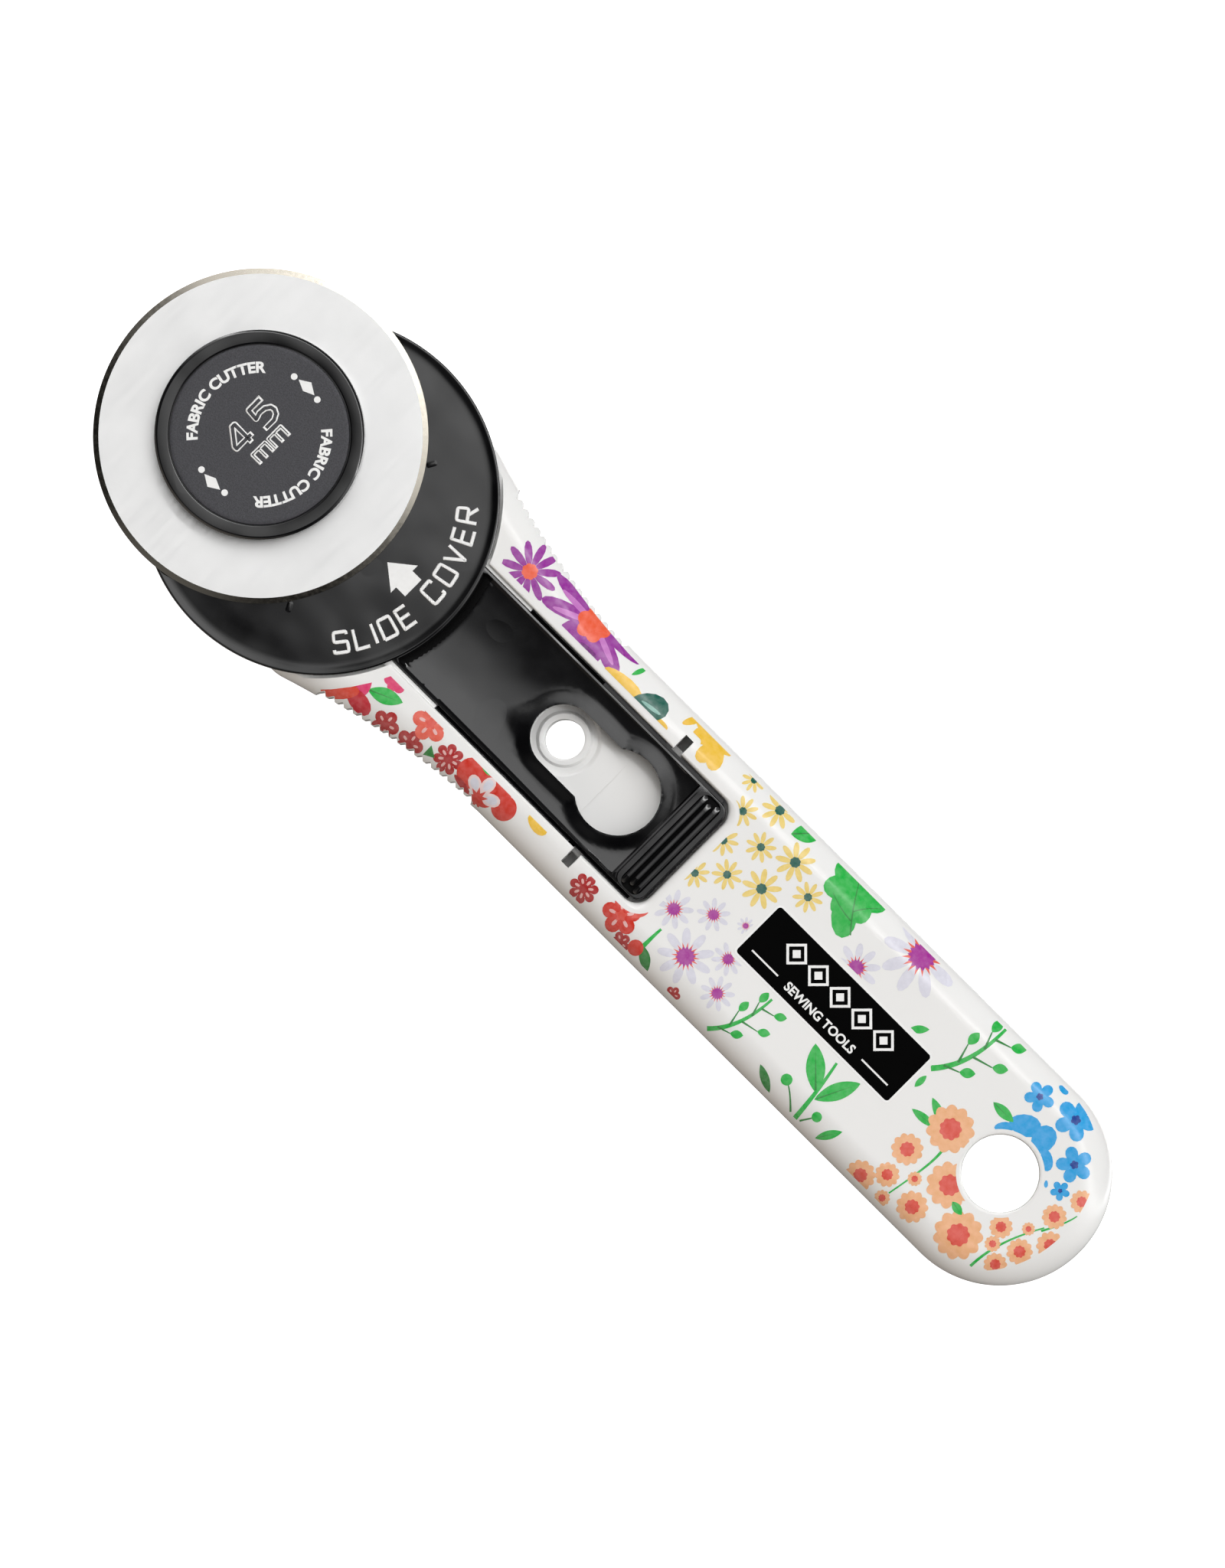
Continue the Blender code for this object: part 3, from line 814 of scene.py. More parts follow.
def blossom(x, y, radius, turn, colour, middle):
    """Five round petals that just touch, and a middle."""
    made = petals_round(x, y, 5, turn, colour, radius * 0.9, radius * 0.78, radius * 0.1, 14)
    return made + ripple(middle, x, y, radius * 0.24, 5, 0.25, turn)


def print_blossom(x, y, radius, petals, turn, colour, middle):
    """Round petals with pale hearts round a dark star, as on a block print."""
    turns = [turn + 360 * i / petals for i in range(petals)]
    lobe = min(0.42, 0.62 * math.sin(math.pi / petals) * 1.12)
    made = [(colour, circle(polar(x, y, radius * (1 - lobe), t), radius * lobe, 14)) for t in turns]
    made += dot(colour, x, y, radius * 0.55, 20)
    for t in turns:
        made += petal("rose", *polar(x, y, radius * 0.26, t), radius * 0.4, radius * 0.2, t)
    return made + [(middle, star(x, y, radius * 0.36, petals, 0.45, turn))]


def burst(x, y, radius, turn):
    """Pale petals round a spiky middle."""
    made = petals_round(x, y, 9, turn, "lavender", radius * 0.78, radius * 0.34, radius * 0.22)
    made.append(("salmon", star(x, y, radius * 0.5, 16, 0.5, turn)))
    return made + [("magenta", star(x, y, radius * 0.36, 14, 0.25, turn + 9))]


def scalloped(x, y, radius, turn=0.0):
    outer = ripple("peach", x, y, radius, 11, 0.16, turn, 6)
    return outer + ripple("coral", x, y, radius * 0.47, 9, 0.18, turn, 5)


def leaf(x, y, length, width, turn, vein="dark_green", colour="green"):
    """A pointed leaf from its stalk end, with a midrib."""
    at = local(x, y, turn)
    steps = 12
    edge = [
        (length * i / steps, width / 2 * math.sin(math.pi * i / steps) ** 0.8)
        for i in range(1, steps)
    ]
    lower, upper = [at(u, -v) for u, v in edge], [at(u, v) for u, v in edge]
    made = [(colour, [at(0, 0)] + lower + [at(length, 0)] + upper[::-1])]
    if vein:
        rib = 0.05 * width
        made.append((vein, [at(0.05 * length, -rib), at(0.9 * length, 0), at(0.05 * length, rib)]))
    return made


def stem(points, width, colour="green"):
    """A strip along a smooth curve through four points; it thins to its end."""
    line = bezier(points, 14)
    left, right = [], []
    for i, (x, y) in enumerate(line):
        before, after = line[max(i - 1, 0)], line[min(i + 1, len(line) - 1)]
        dx, dy = after[0] - before[0], after[1] - before[1]
        half = width / 2 * (1 - 0.5 * i / (len(line) - 1)) / math.hypot(dx, dy)
        left.append((x - half * dy, y + half * dx))
        right.append((x + half * dy, y - half * dx))
    return [(colour, right + left[::-1])]


SPRIG_LEAVES = (
    # where on the stalk each twig starts, the way it turns out and its length
    (0.15, 0.02, 45, 0.2), (0.32, 0.05, -40, 0.24), (0.5, 0.05, 50, 0.26),
    (0.66, 0.02, -45, 0.22), (0.82, -0.04, 48, 0.2),
)


def sprig(x, y, turn, size):
    """A curved stalk with leaves on both sides."""
    at = local(x, y, turn, size, -1)
    made = stem([at(0, 0), at(0.35, 0.12), at(0.7, 0.02), at(1.0, -0.12)], 0.07 * size)
    for u, v, out, reach in SPRIG_LEAVES:
        start = at(u, v)
        tip = polar(*start, reach * size, turn - out)
        middle = ((start[0] + tip[0]) / 2, (start[1] + tip[1]) / 2)
        made += stem([start, middle, middle, tip], 0.03 * size, "dark_green")
        made += leaf(*tip, 0.19 * size, 0.12 * size, turn - out * 0.6, None)
    return made


def neck_flowers():
    """The print beside the slider."""
    x, y = 49.6, 13.8
    shapes = daisy(38.4, 12.6, 4.2, 11, 8, "purple", "orange", 0.27, 0.29)
    for turn, reach, width in (
        (172, 8.4, 1.9), (199, 8.0, 2.4), (238, 5.0, 3.0), (275, 4.6, 3.4),
        (312, 5.2, 3.0), (337, 7.6, 2.6), (3, 8.0, 1.5),
    ):
        shapes += petal("purple", x, y, reach, width, turn, 16)
    # Painted highlights: pale lilac streaks along three purple petals
    for turn, reach in ((178, 6.4), (203, 6.2), (338, 6.0)):
        shapes += petal("lilac", x, y, reach, 0.9, turn, 16)
    shapes += petal("violet", 49.9, 10.7, 3.0, 0.8, 0)
    shapes += ripple("orange", 49.5, 13.7, 2.5, 6, 0.2, 10)
    shapes += petal("yellow", 54.6, 10.6, 6.4, 2.4, 4) + petal("yellow", 63.8, 10.6, 2.6, 1.0, 0)
    shapes += leaf(57.8, 12.4, 2.4, 0.7, 68, None)
    # Painted highlight: a pale teal streak across the teal bud
    shapes += petal("teal", 60.2, 9.6, 5.4, 4.1, 33) + petal("pale_teal", 61.2, 10.9, 3.2, 0.6, 8)
    shapes += petal("yellow", 67.9, 14.6, 7.2, 3.2, 0) + petal("yellow", 67.2, 12.6, 2.6, 1.2, 60)
    for turn in (200, 262, 300):
        shapes += petal("yellow", 72.6, 14.2, 3.8, 2.6, turn)
    for spot in ((36.1, -10.0, 1.25), (35.3, -10.9, 0.75), (37.0, -10.8, 0.75), (36.2, -11.3, 0.7)):
        shapes += dot("pink", *spot)
    shapes += leaf(34.2, -13.9, 5.0, 2.2, 24) + leaf(32.4, -16.4, 4.2, 3.2, 76, None, "pink")
    shapes += petal("crimson", 32.0, -15.6, 4.6, 2.8, -8)
    shapes += petal("vermilion", 33.6, -14.9, 5.4, 2.8, 220)
    shapes += each(
        print_blossom,
        (39.1, -15.6, 2.0, 5, 90, "dark_red", "dark_red"),
        (43.2, -15.2, 2.0, 5, 95, "dark_red", "dark_red"),
        (43.4, -11.2, 2.6, 5, -90, "salmon", "coral"),
        (48.4, -12.9, 2.1, 7, 12, "dark_red", "dark_red"),
        (73.5, -12.4, 2.05, 7, 90, "dark_red", "dark_red"),
        (79.6, -11.4, 2.7, 5, -90, "red", "coral"),
        (82.0, -14.0, 1.4, 5, 0, "dark_red", "dark_red"),
        (91.9, -14.0, 1.1, 5, 20, "dark_red", "dark_red"),
    )
    shapes.append(("dark_green", [(45.5, -14.9), (47.0, -14.1), (45.5, -13.2)]))
    for spot in (
        (52.0, -12.0, 2.1), (54.6, -11.0, 2.2), (58.3, -12.3, 1.75), (56.6, -11.4, 1.6),
        (55.4, -13.0, 1.5),
    ):
        shapes += dot("red", *spot, 24)
    shapes += petal("dark_red", 50.4, -13.8, 3.2, 1.0, -8)
    for x, y, turn in ((54.7, -13.5, 152), (54.7, -13.3, 90), (54.9, -13.5, 26)):
        shapes += petal("blush", x, y, 2.9, 2.0, turn)
        shapes += petal("lavender", *polar(x, y, 0.8, turn), 1.7, 1.3, turn)
    shapes.append(("red", star(54.8, -13.9, 1.5, 9, 0.5)))
    shapes += petal("yellow", 61.4, -10.6, 3.4, 2.2, -4) + petal("green", 52.4, -10.4, 1.6, 0.7, 0)
    shapes += stem([(84.6, -13.0), (84.6, -12.0), (84.6, -10.4), (84.7, -8.9)], 0.7)
    shapes += leaf(84.4, -12.2, 3.6, 1.5, -35, None, "dark_green")
    return shapes + dot("red", 84.0, -13.1, 1.1, 16) + petal("coral", 80.8, -10.6, 2.4, 0.9, 65)


def label_flowers():
    """The print between the slider and the peach flowers."""
    shapes = []
    for x, y, radius, turn in (
        (84.7, 13.6, 2.4, 5), (81.3, 10.0, 2.0, 15), (86.4, 8.3, 2.0, 0), (91.1, 10.1, 2.6, 10),
        (95.6, 8.0, 2.0, 22), (82.2, 5.4, 2.0, 30), (90.4, 4.4, 2.6, 4), (85.8, 2.5, 2.0, 18),
        (82.6, -0.4, 1.9, 9), (79.4, 14.0, 1.6, 0),
    ):
        shapes += daisy(x, y, radius * 1.06, 9, turn, "pale_yellow", "teal")
    shapes += leaf(88.0, 12.4, 4.6, 2.6, 48)
    shapes += ripple("green", 99.6, 13.4, 4.6, 7, 0.22, 12)
    shapes += petal("green", 98.2, 13.0, 7.2, 4.0, -52)
    shapes += each(
        stem,
        ([(103.2, 8.4), (101.4, 10.4), (100.0, 12.6), (98.8, 14.6)], 0.22, "dark_green"),
        ([(101.2, 10.8), (101.8, 12.0), (102.6, 13.0), (103.6, 13.8)], 0.16, "dark_green"),
        ([(101.9, 9.8), (100.4, 9.9), (99.0, 10.2), (97.6, 10.8)], 0.16, "dark_green"),
    )
    shapes += each(
        burst,
        (106.8, 5.9, 3.3, 4), (112.0, 13.2, 5.6, 0), (88.3, -2.6, 2.3, 10), (84.0, -5.8, 2.7, 0),
        (89.6, -9.2, 3.9, 12), (93.9, -5.4, 2.3, 25), (96.1, -9.7, 2.4, 0), (92.4, -0.6, 1.2, 8),
    )
    shapes += sprig(98.4, -14.0, 62, 9.5) + sprig(123.4, 3.4, 66, 11.5)
    shapes += stem([(115.2, -14.2), (115.0, -11.0), (114.6, -8.0), (114.0, -5.0)], 0.7)
    shapes += leaf(114.8, -9.8, 6.6, 2.6, 135) + leaf(115.3, -10.6, 6.6, 2.3, 64)
    shapes += each(
        stem,
        ([(114.2, -14.0), (113.0, -12.8), (112.2, -12.0), (111.0, -11.4)], 0.28, "dark_green"),
        ([(115.9, -14.0), (116.4, -13.2), (116.8, -12.6), (117.1, -12.2)], 0.28, "dark_green"),
    )
    shapes += ripple("green", 110.8, -11.3, 0.8, 8, 0.02)
    shapes += ripple("green", 117.2, -12.0, 0.7, 8, 0.02)
    shapes += leaf(110.4, -14.2, 4.0, 1.2, 152, None, "dark_green")
    shapes += leaf(119.0, -14.2, 3.8, 1.2, 58) + leaf(117.6, 5.0, 2.8, 1.1, 44, None)
    return shapes + leaf(123.6, 0.1, 2.2, 0.9, 88, None)


def tail_flowers():
    """The peach and blue flowers round the hanging hole."""
    shapes = each(
        stem,
        ([(132.2, -3.0), (132.5, -5.0), (132.2, -7.0), (131.2, -12.4)], 0.4),
        ([(145.8, -11.6), (145.9, -8.6), (146.6, -5.6), (149.2, -1.0)], 0.4),
        ([(149.2, -1.6), (150.4, 0.6), (151.0, 2.0), (151.2, 3.2)], 0.3),
    )
    shapes += leaf(130.2, -0.8, 4.2, 1.3, 158) + leaf(129.4, -1.8, 4.0, 1.2, 186)
    shapes += each(
        scalloped,
        (131.0, -0.5, 3.3), (136.2, -5.9, 3.2, 10), (141.7, -9.8, 3.4, 4), (128.8, -6.5, 2.2, 18),
        (129.3, -10.8, 1.7), (126.8, -13.4, 2.1, 12), (131.0, -13.5, 1.1), (134.7, -11.5, 2.2, 7),
        (132.3, -8.6, 1.0), (145.8, -7.4, 1.1, 15), (147.8, -2.6, 0.9), (149.1, -5.6, 1.8, 9),
        (149.1, 1.0, 1.7), (150.3, 5.0, 1.6, 20), (151.4, -2.1, 1.9), (148.0, -9.1, 1.6, 11),
        (145.0, -5.0, 1.6),
    )
    shapes += leaf(138.0, -7.2, 2.2, 1.2, -10)
    for x, y, length, width, turn in (
        (137.7, 6.9, 4.4, 3.4, 30), (140.8, 7.2, 4.2, 3.6, 100), (143.0, 5.6, 3.0, 2.0, -40),
        (135.9, 4.7, 2.6, 1.7, 45),
    ):
        shapes += petal("blue", *polar(x, y, length / 2, turn + 180), length, width, turn)
    for x, y, radius, turn in (
        (136.4, 11.0, 2.1, 12), (142.0, 12.2, 2.9, 30), (146.1, 7.8, 2.5, 4),
        (147.2, 4.0, 1.35, 20),
    ):
        shapes += blossom(x, y, radius, turn, "blue", "navy")
    shapes += petal("blue", 137.2, 13.9, 1.6, 1.0, 0) + petal("blue", 144.9, 3.7, 1.0, 0.6, -50)
    return shapes + leaf(132.5, 6.1, 3.8, 1.5, 0)


def label_outline(grow=0.0):
    start, end, half = LABEL_START - grow, LABEL_END + grow, LABEL_HALF_WIDTH + grow
    return [(x, y + LABEL_Y) for x, y in rounded_rectangle(start, end, half, 0.5 + grow)]


def printed_area():
    """Where ink may lie: on the neck's lower side right to the teeth, elsewhere up to just inside
    the rounded edge, and less far round the tail."""
    turns = [math.radians(-90 + 5 * i) for i in range(37)]
    tail = [(TAIL_CENTRE + 11.8 * math.cos(t), 14.2 * math.sin(t)) for t in turns]
    upper = [p for p in inset(handle_outline(), 0.95) if 26 < p[0] < 56 and p[1] > 0]
    teeth = [(x, 0.12 - y) for x, y in zigzag()]
    return tail + sorted(upper, reverse=True) + [(26, -16), (28.6, -18.6), *teeth, (57.5, -14.2)]


def bare_shapes():
    """Areas left white: round the cover, channel, notches, label and hole."""
    return [
        circle((COVER_X, 0), COVER_RADIUS + 1.9, 60),
        rounded_rectangle(20, CHANNEL_END + 1.2, CHANNEL_HALF_WIDTH + 1.1, 3.4),
        rounded_rectangle(NOTCH[0] - 0.8, NOTCH[1] + 0.8, NOTCH_REACH + 0.9, 0.6),
        label_outline(0.8),
        circle((HANGING_X, 0), HANGING_RADIUS + 0.75, 60),
    ]


def lay_print(name, shapes, materials, area=None):
    """One closed skin, a hair's breadth proud of the handle's front, tiled with the shapes' inks.
    A shape without ink leaves its place bare."""
    points, edges, faces = [], [], []
    for outline in [outline for _, outline in shapes] + ([area] if area else []):
        faces.append(range(len(points), len(points) + len(outline)))
        points += outline
    for depth, _ in quarter(FRONT_ROUNDING, 10)[1:]:
        contour = [p for p in inset(handle_outline(), depth) if p[0] > 24]
        start = next(i for i, p in enumerate(contour) if p[1] < 0)
        for run in (contour[:start], contour[start:]):
            edges += [(len(points) + i, len(points) + i + 1) for i in range(len(run) - 1)]
            points += run
    flat, tris, within = triangulate(points, edges, faces)
    inks = sorted({ink_name for ink_name, _ in shapes if ink_name})
    tiles = []
    for corners, ids in zip(tris, within):
        drawn = [i for i in ids if i < len(shapes)]
        if drawn and shapes[max(drawn)][0] and (not area or len(shapes) in ids):
            tiles.append((corners, inks.index(shapes[max(drawn)][0])))
    heights, normals = front_surface(flat, 0.02)
    used = sorted({i for corners, _ in tiles for i in corners})
    order = {old: new for new, old in enumerate(used)}
    count = len(used)
    top = [(*flat[i], heights[i]) for i in used]
    bottom = [(x, y, z - 0.06) for x, y, z in top]
    skin = [([order[i] for i in corners], slot) for corners, slot in tiles]
    sides = {(c[i - 1], c[i]): slot for c, slot in skin for i in range(len(c))}
    walls = [
        ([b, a, a + count, b + count], slot)
        for (a, b), slot in sides.items()
        if (b, a) not in sides
    ]
    under = [([i + count for i in corners[::-1]], slot) for corners, slot in skin]
    all_faces = skin + under + walls
    data = bpy.data.meshes.new(name)
    data.from_pydata([metres(*p) for p in top + bottom], [], [c for c, _ in all_faces])
    data.polygons.foreach_set("material_index", [slot for _, slot in all_faces])
    for ink_name in inks:
        data.materials.append(materials[ink_name])
    data.shade_smooth()
    vertex_normals = [tuple(normals[i]) for i in used] + [(0, 0, -1)] * count
    data.normals_split_custom_set_from_vertices(vertex_normals)
    place(as_object(name, data), "handle", "handle_plastic")


def make_print():
    shapes = neck_flowers() + label_flowers() + tail_flowers()
    shapes += [(None, bare) for bare in bare_shapes()]
    lay_print("flower_print", shapes, INK_MATERIALS, printed_area())


def make_label():
    """Black label with a fine white border, a row of quilt diamonds and a line of words between
    two short rules."""
    shapes = [("white", label_outline(0.3)), ("black", label_outline())]
    middle, rule_y = (LABEL_START + LABEL_END) / 2, LABEL_Y - 2.6
    for i in range(5):
        for ink_name, reach in (("white", 1.95), ("black", 1.45), ("white", 0.75)):
            diamond = circle((middle + 4.1 * (i - 2), LABEL_Y + 1.25), reach, 4)
            shapes.append((ink_name, diamond))
    for start in (LABEL_START + 1.5, LABEL_END - 6.4):
        shapes.append(("white", rectangle(start, start + 4.9, rule_y - 0.12, rule_y + 0.12)))
    lay_print("label", shapes, {"white": LETTERING, "black": BLACK_INK})
    words = text_mesh("label_words", "SEWING TOOLS", 1.75, 0.05)
    lay_straight(words, (middle, rule_y - 0.6), 0, HANDLE_FRONT + 0.035)
    place(as_object("label_words", words, LETTERING), "handle", "handle_plastic")


# Lettering


def text_mesh(name, text, size, weight):
    """Flat lettering from Blender's own font, centred on its width, as a thin solid."""
    curve = bpy.data.curves.new(name, "FONT")
    curve.body = text
    curve.size = size * MM
    curve.align_x = "CENTER"
    curve.offset = weight * MM
    curve.resolution_u = 6
    curve.extrude = 0.015 * MM
    return mesh_of_curve(name, curve)


def bend(data, centre, radius, middle, height, outward):
    """Lays flat lettering along an arc, its tops outward or inward, about the direction middle."""
    side = 1 if outward else -1
    for vertex in data.vertices:
        u, v, w = vertex.co / MM
        turn = middle - side * math.degrees(u / radius)
        vertex.co = metres(*polar(*centre, radius + side * v, turn), height + w)


def lay_straight(data, origin, turn, height):
    """Turns flat lettering about the vertical and moves it to its place."""
    at = local(*origin, turn)
    for vertex in data.vertices:
        u, v, w = vertex.co / MM
        vertex.co = metres(*at(u, v), height + w)


GLYPHS = {
    # strokes on a grid 4 wide and 6 high
    "S": [[(3.9, 5.1), (3.9, 6), (0.1, 6), (0.1, 3.1), (3.9, 3.1), (3.9, 0), (0.1, 0), (0.1, 0.9)]],
    "L": [[(0.1, 6), (0.1, 0), (3.6, 0)]],
    "I": [[(0.1, 6), (0.1, 0)]],
    "D": [[(0.1, 0), (0.1, 6), (3.9, 6), (3.9, 0), (0.1, 0)]],
    "E": [[(3.7, 6), (0.1, 6), (0.1, 0), (3.7, 0)], [(0.1, 3.1), (3.4, 3.1)]],
    "C": [[(4, 4.9), (4, 6), (0.1, 6), (0.1, 0), (4, 0), (4, 1.1)]],
    "O": [[(2, 6), (0.1, 6), (0.1, 0), (4, 0), (4, 6), (2, 6)]],
    "V": [[(-0.1, 6), (2, 0), (4.1, 6)]],
    "R": [[(0.1, 0), (0.1, 6), (3.9, 6), (3.9, 2.8), (0.1, 2.8)], [(2, 2.8), (4, 0)]],
    "4": [[(3.0, 0), (3.0, 6), (2.4, 6), (0.2, 2.2), (0.2, 1.5), (4.2, 1.5)]],
    "5": [
        [(3.8, 6), (0.6, 6), (0.4, 3.2), (1.6, 3.75), (2.9, 3.6)]
        + [(3.8, 2.8), (4, 1.8), (3.6, 0.7), (2.6, 0), (0.2, 0)]
    ],
    "m": [[(0, 0), (0, 5.9), (5.6, 5.9), (5.6, 0)], [(2.8, 5.9), (2.8, 0)]],
    " ": [],
}
SHARP_GLYPHS = "LIEV45m"


def rounded_corners(line, reach):
    """The polyline with each corner cut by a short curve."""
    made = [line[0]]
    for before, corner, after in zip(line, line[1:], line[2:]):
        back, on = (
            Vector(corner).lerp(Vector(end), min(reach / max(math.dist(corner, end), 1e-9), 0.5))
            for end in (before, after)
        )
        made += bezier([back, corner, corner, on], 4)
    return made + [line[-1]]


def stroke_text(name, text, height, thickness, gap, trim, widen):
    """Lettering of even strokes, centred on its width, from squared letters of this file's own.
    trim shortens each stroke's ends, and widen stretches the letters."""
    curve = bpy.data.curves.new(name, "CURVE")
    curve.dimensions = "3D"
    curve.bevel_depth = thickness / 2 * MM
    curve.bevel_resolution = 1
    curve.use_fill_caps = True
    unit, x, lines = height / 6, 0.0, []
    for letter in text:
        strokes = GLYPHS[letter]
        width = max((u for stroke in strokes for u, _ in stroke), default=2.4)
        for stroke in strokes:
            line = [(x + u * unit * widen, v * unit) for u, v in stroke]
            line = rounded_corners(line, (0.05 if letter in SHARP_GLYPHS else 1.3) * unit)
            for end, inner in ((0, 1), (-1, -2)):
                step = Vector(line[inner]) - Vector(line[end])
                line[end] = tuple(Vector(line[end]) + step.normalized() * trim)
            lines.append(line)
        x += width * unit * widen + gap
    for line in lines:
        spline = curve.splines.new("POLY")
        spline.points.add(len(line) - 1)
        for point, (u, v) in zip(spline.points, line):
            point.co = (*metres(u - (x - gap) / 2, v, 0), 1)
    data = mesh_of_curve(name, curve)
    for vertex in data.vertices:
        vertex.co.z *= 0.03 / thickness
    return data


# Blade cover


def smooth_step(value, low, high):
    t = np.clip((value - low) / (high - low), 0, 1)
    return t * t * (3 - 2 * t)


def dish_height(points):
    """The thumb dish: a hollow across and a low collar round the keyhole, which runs out slowly
    towards the disc on the -Y side."""
    x, y = points[:, 0], points[:, 1]
    floor = 11.45 + 0.42 * (y / DISH_HALF_WIDTH) ** 2
    pull = 1 - 0.6 * smooth_step(-y, -1, 3.5)
    pull_start = 53
    near = np.column_stack([np.where(x < pull_start, pull_start + (x - pull_start) * pull, x), y])
    gap = edge_distance(near, keyhole())[0]
    gap[inside_outline(near, keyhole())] = 0
    floor = floor + 0.42 * (1 - smooth_step(gap, -0.5, 2.4))
    reach = np.hypot(x - COVER_X, y) - COVER_RADIUS
    floor = floor - 0.25 * np.clip(1.3 - reach, 0, 1)
    top = TAIL_FRONT + 0.03
    side = smooth_step(np.abs(y), DISH_HALF_WIDTH - 0.16, DISH_HALF_WIDTH)
    back = smooth_step(x, DISH_END - 0.3, DISH_END)
    front = 1 - smooth_step(reach, 0.08, 0.3)
    return floor + (top - floor) * np.maximum(np.maximum(side, front), back)


def dish_line(depth, out):
    """A line round the dish, depth inside its sides and end and out past the disc's edge."""
    half, end = DISH_HALF_WIDTH - depth, DISH_END - depth
    span = math.degrees(math.asin(DISH_HALF_WIDTH / (COVER_RADIUS + 0.05)))
    front = arc((COVER_X, 0), COVER_RADIUS + out, span, -span, 24)
    front = [p for p in front if abs(p[1]) < half or depth == 0]
    return dense(front + [(end, -half), (end, half)], 0.7)


DISH_RINGS = (
    # depth and out of the lines that the dish's triangles follow
    (0.09, 0.18), (0.17, 0.3), (0.3, 0.75), (0.6, 1.22), (0.9, 1.38), (1.4, 1.9), (2.0, 2.6),
)


def cover_top(radius):
    """Height of the cover's dome at that distance from its middle."""
    return COVER_FRONT - COVER_DOME * (radius / COVER_RADIUS) ** 2


LIP = (
    # the lip along the dome's edge: out from the edge, up from the dome's foot
    (0.0, -0.12), (-0.03, 0.0), (-0.12, 0.06), (-0.25, 0.08),
    (-0.45, 0.055), (-0.75, 0.015), (-1.1, -0.01), (-1.45, -0.014),
)


def cover_disc():
    """A low dome that turns up again in a lip along its edge."""
    back, edge, foot = COVER_BACK, COVER_RADIUS, cover_top(22.3)
    profile = [(0.0, back), (edge - 0.7, back), (edge - 0.15, back + 0.2), (edge, back + 0.5)]
    profile += [(edge + r, foot + z) for r, z in LIP]
    profile += [(r, cover_top(r)) for r in (22.3, 21, 19, 17, 14, 11, 7, 0)]
    return turned("cover_body", profile, 192, BLACK, (COVER_X, 0.0))


RIB_LEVELS = (
    # distance in from the flank, distance in from the end, and height
    (0, 0, -0.4), (0, 0, 0), (0.02, 0.1, 0.1),
    (0.06, 0.2, 0.15), (0.2, 1.0, 0.31), (0.27, 1.2, 0.335),
)


def rib(name, x, length):
    """A low bar across the slider: a narrow flat crest, steep flanks and gently sloping ends."""
    loops = []
    for inward, short, rise in RIB_LEVELS:
        half = 0.42 - inward
        ring = rounded_rectangle(x - half, x + half, length - short, half * 0.98, 6)
        loops.append((ring, TAIL_FRONT + 0.1 + rise))
    return stack(name, loops)


def in_painted_shade(point):
    """Faces that take the darker black as painted shade: the wells between the ribs, the groove at
    the disc's edge, and the slots beside the tail, all along the -Y side but only up to x 56 on +Y.
    """
    x, y, z = point / MM
    across, reach = abs(y), math.hypot(x - COVER_X, y) - COVER_RADIUS
    well = 75.9 < x < 79.35 and across < 8.5 and z < TAIL_FRONT + 0.12
    groove = 0.04 < reach < 1.3 and x > 30 and across < 8.46 and z < TAIL_FRONT
    slot = x > 42 and across > 8.72 and z < 11 and (y < 0 or x < 56)
    return well or groove or slot


def guard_bump(side, rise):
    """A short bar on the guard, beside the blade's edge."""
    at = local(18.9, side * 13.5, side * 62)
    bump = [at(x, y) for x, y in rounded_rectangle(-0.75, 0.75, 0.4, 0.3, 4)]
    top = COVER_FRONT + rise
    levels = [(0, COVER_FRONT - OVERCUT), (0, top - 0.04), (0.25, top)]
    return stepped(f"guard_bump_{side}", bump, levels)


def make_cover():
    cover = cover_disc()
    tail = open_ended(33.5, TAIL_END, TAIL_HALF_WIDTH, 1.8)
    tail_levels = [
        (0, TAIL_BACK), (0, TAIL_FRONT - 0.16), (0.05, TAIL_FRONT - 0.05), (0.32, TAIL_FRONT),
    ]
    flange = rectangle(56, TAIL_END - 1.8, -9.2, 9.2)
    near_flange = rectangle(42.3, 56.5, -9.2, 9.2)
    lug = rectangle(67.5, 68.5, -10.1, 10.1)
    rib_frame = rounded_rectangle(75.1, 80.1, 8.7, 1.5)
    top = TAIL_FRONT + 0.2
    frame_levels = [(0, TAIL_FRONT - OVERCUT), (0, top - 0.12), (0.05, top - 0.04), (0.18, top)]
    join(
        cover,
        stepped("cover_tail", tail, tail_levels),
        prism("cover_flange", flange, TAIL_BACK + 0.05, 10.9),
        prism("cover_flange_near", near_flange, TAIL_BACK + 0.05, 10.8),
        prism("cover_lugs", lug, TAIL_BACK + 0.1, TAIL_BACK + 0.85),
        stepped("rib_frame", rib_frame, frame_levels),
    )
    well = rounded_rectangle(75.95, 79.3, 8.45, 1.2)
    cut(cover, prism("rib_well", well, TAIL_FRONT - 0.3, TAIL_FRONT + OVERCUT))
    for i, (x, length) in enumerate(((76.5, 8.15), (77.6, 7.6), (78.7, 8.15))):
        join(cover, rib(f"rib_{i + 1}", x, length))
    join(cover, guard_bump(-1, 0.05), guard_bump(1, 0.1))
    rings = [dish_line(*ring) for ring in DISH_RINGS]
    rings += [keyhole(grow) for grow in (-0.3, 0.4, 0.9, 1.5, 2.1)]
    slot = arc((0, 0), 4.1, 90, 270, 24) + arc((COVER_X, 0), 4.1, -90, 90, 24)
    cut(
        cover,
        carved("dish", dish_line(0, 0.05), rings, 0.5, dish_height, TAIL_FRONT + OVERCUT),
        prism("keyhole", keyhole(), TAIL_BACK - OVERCUT, TAIL_FRONT + OVERCUT),
        prism("bolt_slot", slot, COVER_BACK - OVERCUT, COVER_FRONT + OVERCUT),
    )
    settle(cover)
    # Painted shade: faces in recesses and slots take the darker unpolished black
    cover.data.materials.append(PAINTED_SHADE_BLACK)
    for face in cover.data.polygons:
        face.material_index = int(in_painted_shade(face.center))
    place(cover, "blade_cover", "cover_plastic", "blade_cover", sharp=38)


